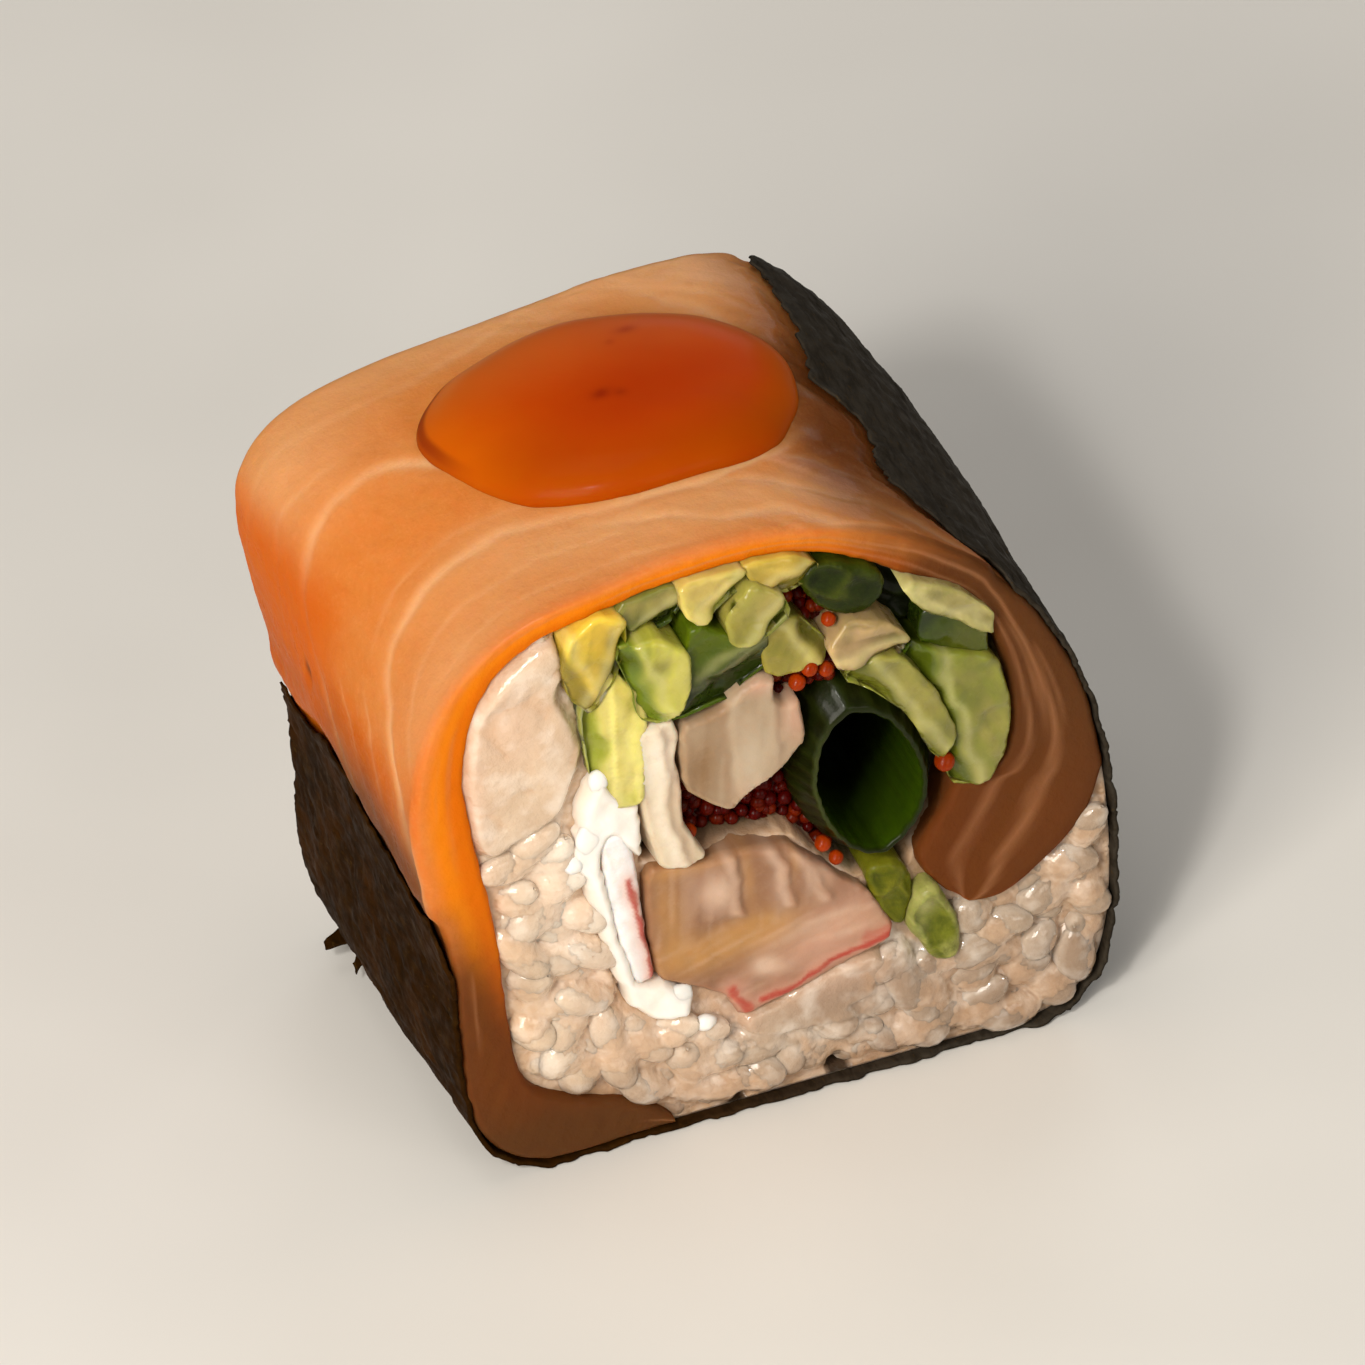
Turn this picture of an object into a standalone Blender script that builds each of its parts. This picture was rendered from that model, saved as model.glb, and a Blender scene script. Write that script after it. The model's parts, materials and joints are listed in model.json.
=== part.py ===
"""Salmon maki roll: one cut slice of a thick rolled sushi, standing on its nori.

Frame: origin at the bottom centre of the slice, +X across the cut face, +Y along
the axis of the roll (the dressed cut face looks towards -Y), +Z up.
Sizes below are in millimetres and become metres when the meshes are made.

The slice is laid out as a flat section (x, z) and then run along the roll.
Every piece has an outline in that section. Pieces are cut one after another:
each gives way to the ones before it and keeps a thin gap to them. One gentle
bend, shared by all pieces, then makes the run of the roll slightly uneven.
"""

import math

import bpy
from mathutils import Vector
from mathutils.geometry import delaunay_2d_cdt

# ---------------------------------------------------------------- named sizes
HALF_LENGTH = 12.4  # half the length of the slice along the roll
FACE_SLANT = 0.055  # the front cut leaves square by this much per mm of x
BACK_SLANT = 0.018
NORI = 0.45  # thickness of the seaweed sheet
GAP = 0.3  # clearance kept between neighbouring pieces
TUCK = NORI + GAP  # how far a covered piece lies inside the outer contour
BELLY = 0.014  # the slice is this share fatter half way along
LEAN = 0.55  # the top moves this far sideways from front to back
SAUCE_X, SAUCE_Y = -2.5, 0.4  # middle of the sauce dollop
SAUCE_RX, SAUCE_RY, SAUCE_H = 10.4, 7.6, 1.8
SAUCE_TURN = -0.12  # its long axis is turned this much off the roll's section
# The back of the slice is squarer than the front: each upper corner is pushed out,
# fading over its reach. (x, z, reach, sideways, up)
SQUARE_CORNERS = [(-17.5, 35.0, 7.6, -3.0, 1.5), (8.5, 37.5, 6.5, 0.9, 1.5)]

# Outer contour of the roll, anticlockwise from the top, as corner and side stations.
CONTOUR = [
    (-1.0, 40.2), (-7.0, 39.7), (-12.5, 38.4), (-16.7, 35.5), (-19.2, 31.2),
    (-20.2, 26.0), (-19.8, 21.0), (-19.1, 15.0), (-19.1, 8.0), (-18.6, 4.2),
    (-17.3, 1.6), (-14.6, 0.0), (-10.0, 0.0), (0.0, 0.0), (10.0, 0.0),
    (14.6, 0.0), (17.6, 1.5), (19.3, 4.6), (20.1, 10.0), (20.1, 17.0),
    (19.3, 23.0), (17.3, 28.4), (14.2, 33.2), (9.6, 37.1), (4.4, 39.4),
]
# Inner face of the salmon, from its thin start under the rice, up the left side,
# over the top and down the right side to where it curls in.
SALMON_INSIDE = [
    (-7.0, 0.95), (-9.0, 2.7), (-12.6, 4.2), (-15.2, 6.4), (-15.8, 11.0),
    (-16.0, 18.0), (-16.8, 25.0), (-16.7, 30.0), (-14.8, 34.6), (-11.6, 36.9),
    (-7.0, 38.0), (-1.0, 38.5), (3.2, 37.9), (7.0, 35.9), (10.4, 33.2),
    (13.0, 30.8), (14.3, 27.5), (14.7, 23.5), (14.3, 20.3), (12.8, 18.9),
    (11.3, 18.9), (10.3, 17.4), (9.2, 15.7), (8.5, 14.2), (9.2, 12.4), (10.6, 11.0),
]
# Where its outer face leaves the contour low on the right and turns in.
SALMON_CURL = [(18.6, 14.3), (16.2, 11.8), (13.4, 10.2), (11.4, 10.1)]


# ------------------------------------------------------------- plane geometry
def spline(points, closed=True, per=3):
    """Catmull-Rom curve through the stations, with `per` steps to each span."""
    n = len(points)
    out = []
    for i in range(n if closed else n - 1):
        if closed:
            a, b, c, d = (points[(i + k) % n] for k in (-1, 0, 1, 2))
        else:
            a, b, c, d = (points[min(max(i + k, 0), n - 1)] for k in (-1, 0, 1, 2))
        for step in range(per):
            t = step / per
            out.append(
                tuple(
                    0.5
                    * (
                        2 * b[k]
                        + (c[k] - a[k]) * t
                        + (2 * a[k] - 5 * b[k] + 4 * c[k] - d[k]) * t * t
                        + (3 * b[k] - a[k] - 3 * c[k] + d[k]) * t**3
                    )
                    for k in (0, 1)
                )
            )
    if not closed:
        out.append(tuple(points[-1]))
    return out


def signed_area(loop):
    return 0.5 * sum(
        a[0] * b[1] - b[0] * a[1] for a, b in zip(loop, loop[1:] + loop[:1])
    )


def anticlockwise(loop):
    return list(loop) if signed_area(loop) > 0 else list(reversed(loop))


def grown(loop, by):
    """The outline moved out by this much, with blunt corners."""
    loop = anticlockwise(loop)
    out = []
    n = len(loop)
    for i in range(n):
        p, q, r = Vector(loop[i - 1]), Vector(loop[i]), Vector(loop[(i + 1) % n])
        before, after = (q - p).normalized(), (r - q).normalized()
        n1, n2 = Vector((before.y, -before.x)), Vector((after.y, -after.x))
        mid = (n1 + n2).normalized()
        out.append(tuple(q + mid * (by / max(0.6, mid.dot(n1)))))
    return out


class Ring:
    """The outer contour, read by the distance travelled along it."""

    def __init__(self, stations):
        self.points = [
            Vector((x, max(0.0, z))) for x, z in spline(stations, True, 10)
        ]
        self.reach = [0.0]
        for a, b in zip(self.points, self.points[1:] + self.points[:1]):
            self.reach.append(self.reach[-1] + (b - a).length)
        self.length = self.reach[-1]

    def at(self, s, inset=0.0):
        s %= self.length
        i = next(k for k in range(len(self.points)) if self.reach[k + 1] >= s)
        n = len(self.points)
        a, b = self.points[i], self.points[(i + 1) % n]
        share = (s - self.reach[i]) / max(1e-9, self.reach[i + 1] - self.reach[i])
        along = (self.points[(i + 2) % n] - self.points[i - 1]).normalized()
        inward = Vector((-along.y, along.x))
        point = a.lerp(b, share)
        if point.y < 1e-6:
            inward = Vector((0.0, 1.0))
        return point + inward * inset

    def nearest(self, x, z):
        spot = Vector((x, z))
        i = min(range(len(self.points)), key=lambda k: (self.points[k] - spot).length)
        return self.reach[i]


ring = Ring(CONTOUR)
TOP_LEFT_OF_NORI = ring.nearest(-19.3, 18.6)
TOP_RIGHT_OF_NORI = ring.nearest(11.0, 36.1)


def blend(a, b, x):
    t = min(1.0, max(0.0, (x - a) / (b - a)))
    return t * t * (3 - 2 * t)


def nori_start(t):
    """Left edge of the nori: highest a little behind the middle, t from -1 to 1."""
    rise = -0.2 + 2.6 * math.exp(-(((t - 0.02) / 0.6) ** 2)) + 0.4 * math.sin(7.3 * t)
    return TOP_LEFT_OF_NORI - rise


def nori_end(t):
    """Right edge of the nori: it steps back at a nick, then drops to the front cut."""
    step = 1.7 * blend(-0.14, 0.02, t)
    drop = 3.9 * blend(-0.45, -1.0, t)
    return TOP_RIGHT_OF_NORI + 0.4 + step - drop + 0.35 * math.sin(9.0 * t + 1.0)


# -------------------------------------------------------- the run of the roll
def place(x, t, z, forward=0.0):
    """Section point (x, z) at t along the roll (-1 front cut, 1 back cut)."""
    front = -HALF_LENGTH + 0.3 - FACE_SLANT * (x + 19.3)
    back = HALF_LENGTH - BACK_SLANT * (x + 19.3)
    y = front + (back - front) * (t + 1) / 2 + forward
    fat = 1 + BELLY * (1 - t * t) - 0.006 * t
    aside = LEAN * t * z / 40 + 0.25 * math.sin(2.2 * t + 0.4) * z / 40
    up = 0.004 * z * math.sin(3 * t)
    for cx, cz, reach, dx, dz in SQUARE_CORNERS:
        near = math.exp(-((x - cx) ** 2 + (z - cz) ** 2) / reach**2)
        aside += dx * near * blend(-0.7, 1.0, t)
        up += dz * near * blend(-0.7, 1.0, t)
    return (x * fat + aside, y, z * fat + up)


def stations(front, back, count):
    """(t, push along y) for each cross-section, with the ends set forward or back."""
    rows = []
    for k in range(count):
        t = -1 + 2 * k / (count - 1)
        push = front if k == 0 else back if k == count - 1 else 0.0
        rows.append((t, push))
    return rows


# ------------------------------------------------------------- making objects
def paint(name, colour, rough):
    material = bpy.data.materials.new(name)
    material.use_nodes = True
    shader = material.node_tree.nodes["Principled BSDF"]
    shader.inputs["Base Color"].default_value = (*colour, 1.0)
    shader.inputs["Roughness"].default_value = rough
    shader.inputs["Metallic"].default_value = 0.0
    return material


def add_object(name, points, faces, colour, rough=0.4):
    mesh = bpy.data.meshes.new(name)
    mesh.from_pydata([tuple(c * 0.001 for c in p) for p in points], [], faces)
    mesh.validate()
    mesh.shade_smooth()
    mesh.set_sharp_from_angle(angle=math.radians(38))
    obj = bpy.data.objects.new(name, mesh)
    obj.data.materials.append(paint(name + "_finish", colour, rough))
    bpy.context.scene.collection.objects.link(obj)
    return obj


def section_of(outline, others):
    """Triangles of the outline less every other outline; only its largest part."""
    loops = [anticlockwise(outline)] + [anticlockwise(o) for o in others]
    coords, faces = [], []
    for loop in loops:
        faces.append(list(range(len(coords), len(coords) + len(loop))))
        coords += [Vector(p) for p in loop]
    points, _, tris, _, _, owners = delaunay_2d_cdt(coords, [], faces, 1, 1e-5)
    kept = [tuple(f) for f, own in zip(tris, owners) if set(own) == {0}]
    by_edge = {}
    for i, tri in enumerate(kept):
        for a, b in zip(tri, tri[1:] + tri[:1]):
            by_edge.setdefault(frozenset((a, b)), []).append(i)
    group = list(range(len(kept)))

    def root(i):
        while group[i] != i:
            i = group[i]
        return i

    for owners_of_edge in by_edge.values():
        for other in owners_of_edge[1:]:
            group[root(other)] = root(owners_of_edge[0])
    weight = {}
    for i, tri in enumerate(kept):
        corners = [points[v] for v in tri]
        size = abs(signed_area([tuple(c) for c in corners]))
        weight[root(i)] = weight.get(root(i), 0.0) + size
    best = max(weight, key=weight.get)
    return points, [tri for i, tri in enumerate(kept) if root(i) == best]


def run_through(name, outline, others, colour, front=0.0, back=0.0, rough=0.4, count=4):
    """A filling: its section, carried from the front cut to the back cut."""
    points, tris = section_of(outline, others)
    used = sorted({v for tri in tris for v in tri})
    directed = set()
    for tri in tris:
        directed |= {(a, b) for a, b in zip(tri, tri[1:] + tri[:1])}
    rim = [(a, b) for a, b in directed if (b, a) not in directed]
    rim_points = sorted({a for a, _ in rim})
    rows = stations(-front, back, count)
    verts, index = [], {}
    for k, (t, push) in enumerate(rows):
        for v in used if k in (0, count - 1) else rim_points:
            index[k, v] = len(verts)
            verts.append(place(points[v][0], t, points[v][1], push))
    # In (x, z) an anticlockwise triangle faces -Y, which is outward at the front.
    faces = [tuple(index[0, v] for v in tri) for tri in tris]
    faces += [tuple(index[count - 1, v] for v in reversed(tri)) for tri in tris]
    for k in range(count - 1):
        for a, b in sorted(rim):
            faces.append((index[k, b], index[k, a], index[k + 1, a], index[k + 1, b]))
    return add_object(name, verts, faces, colour, rough)


def wrapped(name, rows, colour, rough):
    """A bent sheet: rows[k] = (outer points, inner points) of one cross-section."""
    verts, faces = [], []
    n = len(rows[0][0])
    for outer, inner in rows:
        verts += outer + inner
    size = 2 * n

    def loop(k):
        return [k * size + i for i in range(n)] + [
            k * size + n + i for i in reversed(range(n))
        ]

    for k in range(len(rows) - 1):
        here, there = loop(k), loop(k + 1)
        for i in range(size):
            j = (i + 1) % size
            faces.append((here[i], here[j], there[j], there[i]))
    for i in range(n - 1):
        faces.append((n + i, n + i + 1, i + 1, i))
        e = (len(rows) - 1) * size
        faces.append((e + i, e + i + 1, e + n + i + 1, e + n + i))
    return add_object(name, verts, faces, colour, rough)


def oriented(obj):
    """Turns the faces out if the sheet was laid the other way round."""
    mesh = obj.data
    volume = 0.0
    mesh.calc_loop_triangles()
    for tri in mesh.loop_triangles:
        a, b, c = (mesh.vertices[v].co for v in tri.vertices)
        volume += a.dot(b.cross(c))
    if volume < 0:
        mesh.flip_normals()


# ------------------------------------------------------------------ the scene
for old in list(bpy.data.objects):
    bpy.data.objects.remove(old, do_unlink=True)

# Nori: one sheet from half way up the left side, under the roll, to the top right.
NORI_STEPS, NORI_ROWS = 40, 15
rows = []
for k in range(NORI_ROWS):
    t = -1 + 2 * k / (NORI_ROWS - 1)
    s0, s1 = nori_start(t), nori_end(t)
    s1 += ring.length if s1 < s0 else 0.0
    outer, inner = [], []
    for i in range(NORI_STEPS):
        s = s0 + (s1 - s0) * i / (NORI_STEPS - 1)
        outer.append(place(*(lambda p: (p.x, t, p.y))(ring.at(s))))
        inner.append(place(*(lambda p: (p.x, t, p.y))(ring.at(s, NORI))))
    rows.append((outer, inner))
oriented(wrapped("nori", rows, (0.016, 0.018, 0.012), 0.45))

# Salmon: a slice laid over the roll, tucked inside the nori where that covers it.
SALMON_STEPS, SALMON_ROWS = 54, 9
start = ring.nearest(-7.0, 0.0)
leave = ring.nearest(20.1, 17.2) - ring.length
inside = spline(SALMON_INSIDE, False, 12)


def spread(points, count):
    """Evenly spaced points along an open line."""
    reach = [0.0]
    for a, b in zip(points, points[1:]):
        reach.append(reach[-1] + math.dist(a, b))
    out = []
    i = 0
    for k in range(count):
        want = reach[-1] * k / (count - 1)
        while i < len(reach) - 2 and reach[i + 1] < want:
            i += 1
        share = (want - reach[i]) / max(1e-9, reach[i + 1] - reach[i])
        out.append(
            tuple(points[i][c] + (points[i + 1][c] - points[i][c]) * share for c in (0, 1))
        )
    return out


def salmon_outside(t):
    """Outer face: on the contour, drawn in wherever the nori lies over it."""
    left, right = nori_start(t), nori_end(t) - ring.length
    line = []
    steps = 220
    for i in range(steps + 1):
        s = start + (leave - start) * i / steps  # clockwise, so s falls
        under_left = blend(left - 2.6, left - 0.7, s)
        under_right = blend(right + 2.6, right + 0.7, s)
        p = ring.at(s, TUCK * max(under_left, under_right))
        line.append((p.x, p.y))
    tail = spline([line[-1]] + SALMON_CURL, False, 8)
    return line + tail[1:]


rows = []
for k in range(SALMON_ROWS):
    t = -1 + 2 * k / (SALMON_ROWS - 1)
    outer = [place(x, t, z) for x, z in spread(salmon_outside(t), SALMON_STEPS)]
    inner = [place(x, t, z) for x, z in spread(inside, SALMON_STEPS)]
    rows.append((outer, inner))
oriented(wrapped("salmon_slice", rows, (0.80, 0.24, 0.035), 0.35))

# The room left inside: everything else is cut clear of this outline of the salmon.
salmon_block = spread(inside, 60) + list(
    reversed(spread([(ring.at(start, 0.3).x, 0.35)] + salmon_outside(0.0)[1:], 60))
)
taken = [grown(salmon_block, GAP)]

GREEN, PALE, LEAF = (0.20, 0.34, 0.03), (0.56, 0.58, 0.20), (0.02, 0.10, 0.006)
WHITE, CRAB, TAN = (0.86, 0.82, 0.74), (0.78, 0.62, 0.50), (0.66, 0.44, 0.28)

# Scallion: a hollow leaf, open right through.
SCALLION = [
    (2.1, 21.6), (2.7, 25.4), (4.8, 28.0), (7.6, 26.8), (9.4, 23.6),
    (9.8, 20.2), (8.7, 17.0), (6.8, 15.2), (4.8, 15.9), (2.9, 18.4),
]
BORE = [
    (2.9, 21.6), (3.4, 24.6), (5.1, 26.3), (7.2, 25.3), (8.6, 22.6),
    (9.0, 20.2), (8.1, 17.7), (6.6, 16.2), (5.0, 16.8), (3.6, 18.8),
]
outer, bore = spline(SCALLION, True, 3), spline(BORE, True, 3)
rows = []
for t, push in stations(0.5, 0.4, 5):
    push = -push if t < 0 else push
    rows.append(
        (
            [place(x, t, z, push) for x, z in outer + outer[:1]],
            [place(x, t, z, push) for x, z in bore + bore[:1]],
        )
    )
n = len(outer)
verts, faces = [], []
for ring_out, ring_in in rows:
    verts += ring_out[:n] + ring_in[:n]
for k in range(len(rows) - 1):
    for i in range(n):
        j = (i + 1) % n
        a, b = k * 2 * n, (k + 1) * 2 * n
        faces.append((a + i, a + j, b + j, b + i))
        faces.append((a + n + j, a + n + i, b + n + i, b + n + j))
last = (len(rows) - 1) * 2 * n
for i in range(n):
    j = (i + 1) % n
    faces.append((n + i, n + j, j, i))
    faces.append((last + i, last + j, last + n + j, last + n + i))
oriented(add_object("scallion_tube", verts, faces, (0.03, 0.13, 0.01), 0.3))
taken.append(grown(outer, GAP))

# Fillings, in the order in which they give way to one another.
# name, outline, rounded, colour, front push, back push
FILLINGS = [
    ("crab_chunk", [(-4.5, 28.5), (-2.0, 29.0), (-1.3, 30.0), (0.2, 30.6), (1.0, 30.3),
        (0.8, 29.0), (1.4, 28.2), (2.3, 28.3), (2.4, 25.5), (1.0, 23.9), (-1.2, 22.8),
        (-2.1, 22.0), (-2.9, 22.6), (-4.6, 24.3)], 0, WHITE, 0.8, 0.2),
    ("crab_strip_upper", [(-6.9, 29.0), (-5.1, 29.3), (-4.8, 28.2), (-5.2, 26.5),
        (-4.9, 24.4), (-5.1, 22.0), (-4.3, 20.0), (-3.9, 19.3), (-5.0, 18.8),
        (-6.3, 19.2), (-6.8, 21.5), (-7.1, 25.0)], 0, WHITE, 0.5, 0.3),
    ("crab_stick", [(-7.1, 18.8), (-4.2, 18.4), (-2.8, 18.5), (-0.5, 18.3), (1.0, 18.0),
        (2.4, 16.4), (3.8, 14.6), (5.2, 13.2), (6.6, 10.3), (6.3, 9.4), (3.4, 8.5),
        (0.3, 7.6), (-2.5, 6.9), (-3.2, 8.6), (-5.0, 9.9), (-7.0, 11.1), (-7.4, 15.0)],
        0, TAN, 0.0, 0.0),
    ("crab_strip_side", [(-9.5, 22.0), (-8.2, 22.4), (-7.9, 19.0), (-7.8, 15.0),
        (-7.5, 11.6), (-8.4, 11.4), (-9.0, 14.5), (-9.6, 18.5)], 0, WHITE, 0.3, 0.1),
    ("roe_main", [(-4.6, 24.2), (-2.0, 25.0), (1.5, 25.2), (2.2, 22.0), (3.2, 18.0),
        (4.6, 15.2), (3.8, 14.4), (2.3, 16.2), (0.8, 18.0), (-2.7, 18.6), (-4.0, 19.5),
        (-5.0, 21.8)], 0, (0.30, 0.02, 0.002), -1.9, -1.2),
    ("roe_upper", [(0.8, 30.5), (2.5, 30.7), (5.2, 29.4), (4.6, 28.2), (2.6, 28.4),
        (1.3, 28.3)], 0, (0.42, 0.04, 0.004), -0.7, -0.6),
    ("cucumber_top_left", [(-10.4, 36.8), (-8.6, 37.7), (-7.4, 37.3), (-7.4, 35.6),
        (-8.2, 33.4), (-9.4, 31.6), (-10.3, 32.8), (-10.6, 35.0)], 1, PALE, 0.2, 0.1),
    ("cucumber_long", [(-9.6, 31.2), (-8.0, 33.0), (-6.8, 31.6), (-6.7, 29.2),
        (-7.2, 26.6), (-7.4, 24.6), (-8.8, 24.5), (-9.6, 27.5)], 1, (0.50, 0.52, 0.10), 0.1, 0.2),
    ("cucumber_round", [(-7.6, 35.0), (-5.6, 35.3), (-4.2, 34.2), (-4.2, 32.2),
        (-4.9, 30.5), (-5.7, 29.9), (-6.6, 30.4), (-6.8, 32.4)], 1, (0.36, 0.46, 0.07), 0.6, 0.1),
    ("cucumber_top_dark", [(-7.2, 37.7), (-4.2, 38.0), (-3.7, 36.9), (-4.6, 35.7),
        (-6.4, 36.0)], 1, GREEN, -0.2, 0.2),
    ("cucumber_edge", [(-3.6, 38.2), (-0.4, 38.3), (0.0, 37.7), (-1.4, 36.8),
        (-2.9, 35.9), (-3.5, 36.8)], 1, PALE, 0.4, 0.0),
    ("cucumber_block", [(-1.3, 35.6), (0.2, 37.2), (1.5, 36.3), (1.9, 34.9),
        (0.6, 33.9), (-1.2, 34.2)], 1, PALE, 0.9, 0.4),
    ("cucumber_skin_slice", [(-4.0, 33.3), (-3.2, 35.4), (-1.6, 34.2), (0.5, 33.7),
        (0.6, 31.5), (-1.0, 30.7), (-1.5, 30.0), (-4.8, 29.4), (-4.9, 30.4)],
        0, GREEN, 0.3, 0.2),
    ("cucumber_olive", [(0.9, 33.6), (2.3, 34.0), (4.0, 31.6), (3.8, 30.6),
        (0.9, 30.8), (0.7, 32.2)], 1, PALE, 0.4, 0.3),
    ("cucumber_top_right", [(0.3, 38.3), (2.8, 38.0), (4.0, 37.1), (3.6, 36.4),
        (2.2, 36.0), (0.6, 37.4)], 1, PALE, 0.3, 0.1),
    ("cucumber_pink_edge", [(4.4, 31.4), (5.6, 32.6), (7.5, 31.9), (8.6, 30.6),
        (8.1, 29.8), (6.0, 29.8), (4.9, 30.1)], 1, PALE, 1.0, 0.1),
    ("cucumber_diagonal", [(5.4, 28.9), (6.8, 29.6), (8.1, 29.4), (9.9, 26.2),
        (10.8, 23.2), (10.0, 21.8), (8.6, 25.6), (6.6, 27.9)], 0, PALE, 0.7, 0.2),
    ("leaf_top", [(3.4, 36.0), (4.3, 36.8), (7.0, 35.8), (7.8, 34.2), (6.5, 33.1),
        (5.0, 33.6), (4.0, 34.8)], 1, LEAF, 0.1, 0.2),
    ("roe_top", [(2.3, 35.6), (3.6, 34.8), (4.8, 33.4), (6.2, 32.8), (5.6, 32.7),
        (4.3, 31.8), (3.0, 33.6)], 0, (0.20, 0.02, 0.003), -1.2, -0.8),
    ("cucumber_rim", [(9.0, 34.3), (10.3, 32.0), (12.2, 30.9), (13.4, 29.5),
        (13.6, 30.6), (11.8, 32.6)], 0, PALE, 0.5, 0.1),
    ("cucumber_right_dark", [(10.3, 31.4), (12.0, 30.8), (13.3, 29.2), (13.2, 27.8),
        (11.4, 28.6), (9.9, 29.9)], 1, (0.10, 0.24, 0.02), 0.0, 0.2),
    ("cucumber_slab", [(9.0, 29.4), (11.2, 28.4), (13.6, 27.4), (14.2, 23.6),
        (13.7, 20.4), (12.4, 18.8), (10.9, 19.4), (11.2, 23.0), (10.3, 26.4)],
        1, PALE, 0.4, 0.3),
    ("leaf_right", [(8.0, 35.2), (9.4, 33.6), (10.2, 31.4), (9.4, 30.2), (8.8, 31.2),
        (7.6, 32.4), (7.0, 33.2)], 1, LEAF, -2.4, -0.4),
    ("scallion_bit", [(5.8, 14.2), (7.4, 14.2), (7.9, 12.4), (7.3, 10.4), (6.8, 10.4),
        (5.9, 12.2)], 1, GREEN, 0.0, 0.1),
    ("scallion_ring_bit", [(8.4, 12.0), (9.2, 12.0), (10.1, 9.4), (9.8, 7.2),
        (8.7, 7.9), (7.7, 10.2)], 1, (0.14, 0.26, 0.03), 0.5, 0.0),
    ("cream_cheese", [(-9.2, 26.6), (-8.4, 24.2), (-7.4, 23.8), (-7.5, 20.0),
        (-9.0, 22.6), (-9.9, 21.6), (-9.9, 18.0), (-9.3, 14.0), (-8.6, 11.0),
        (-6.9, 10.8), (-5.3, 9.4), (-5.9, 8.1), (-8.2, 8.2), (-9.9, 11.0),
        (-10.8, 16.0), (-11.1, 20.6), (-10.5, 25.0)], 0, (0.90, 0.88, 0.80), 0.4, 0.1),
]
for name, outline, rounded, colour, front, back in FILLINGS:
    shape = spline(outline, True, 2) if rounded else outline
    run_through(name, shape, taken, colour, front, back, 0.35)
    taken.append(grown(shape, GAP))

# Rice: everything left inside the salmon and the nori, as one pressed bed.
bed = [tuple(ring.at(ring.length * i / 96, TUCK + 0.03)) for i in range(96)]
run_through("rice", bed, taken, (0.80, 0.68, 0.54), 0.0, 0.0, 0.5, 6)

# Sauce dollop on top: a low dome whose underside follows the salmon.
crown = [p for p in (ring.at(ring.length * i / 400) for i in range(400)) if p.y > 20]


def crown_height(x, y):
    over_here = [place(p.x, y / HALF_LENGTH, p.y) for p in crown]
    return min(over_here, key=lambda p: abs(p[0] - x))[2]


SPOKES, RINGS = 30, 6
under, over = [], []
for r in range(RINGS + 1):
    share = r / RINGS
    for a in range(SPOKES if r else 1):
        turn = 2 * math.pi * a / SPOKES
        wobble = 1 + 0.03 * math.sin(3 * turn + 0.5) + 0.02 * math.sin(5 * turn)
        x = SAUCE_X + SAUCE_RX * share * wobble * math.cos(turn)
        y = SAUCE_Y + SAUCE_RY * share * wobble * math.sin(turn)
        y += SAUCE_TURN * (x - SAUCE_X)
        floor = crown_height(x, y) + GAP
        under.append((x, y, floor))
        over.append((x, y, floor + 0.25 + SAUCE_H * (1 - share**2.2) ** 0.7))
verts = under + over
half = len(under)


def spot(r, a):
    return 0 if r == 0 else 1 + (r - 1) * SPOKES + a % SPOKES


faces = []
for a in range(SPOKES):
    faces.append((half + 0, half + spot(1, a), half + spot(1, a + 1)))
    faces.append((0, spot(1, a + 1), spot(1, a)))
    for r in range(1, RINGS):
        p, q, u, v = spot(r, a), spot(r + 1, a), spot(r + 1, a + 1), spot(r, a + 1)
        faces.append((half + p, half + q, half + u, half + v))
        faces.append((p, v, u, q))
    p, q = spot(RINGS, a), spot(RINGS, a + 1)
    faces.append((p, q, half + q, half + p))
oriented(add_object("sauce_dollop", verts, faces, (0.52, 0.08, 0.004), 0.12))

# Origin at the bottom centre of the whole slice.
corners = [v.co for obj in bpy.data.objects for v in obj.data.vertices]
shift = Vector(
    (
        -(min(c.x for c in corners) + max(c.x for c in corners)) / 2,
        -(min(c.y for c in corners) + max(c.y for c in corners)) / 2,
        -min(c.z for c in corners),
    )
)
for obj in bpy.data.objects:
    for v in obj.data.vertices:
        v.co += shift
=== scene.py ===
"""Salmon maki roll: the looks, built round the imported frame.

All lengths here are millimetres in the roll's own section frame (x across, z up,
t from -1 at the front cut to 1 at the back cut) until mesh_object() makes metres.
"""

import json
import math

import bpy
import numpy as np
from mathutils import Matrix, Vector
from mathutils.geometry import delaunay_2d_cdt

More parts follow.
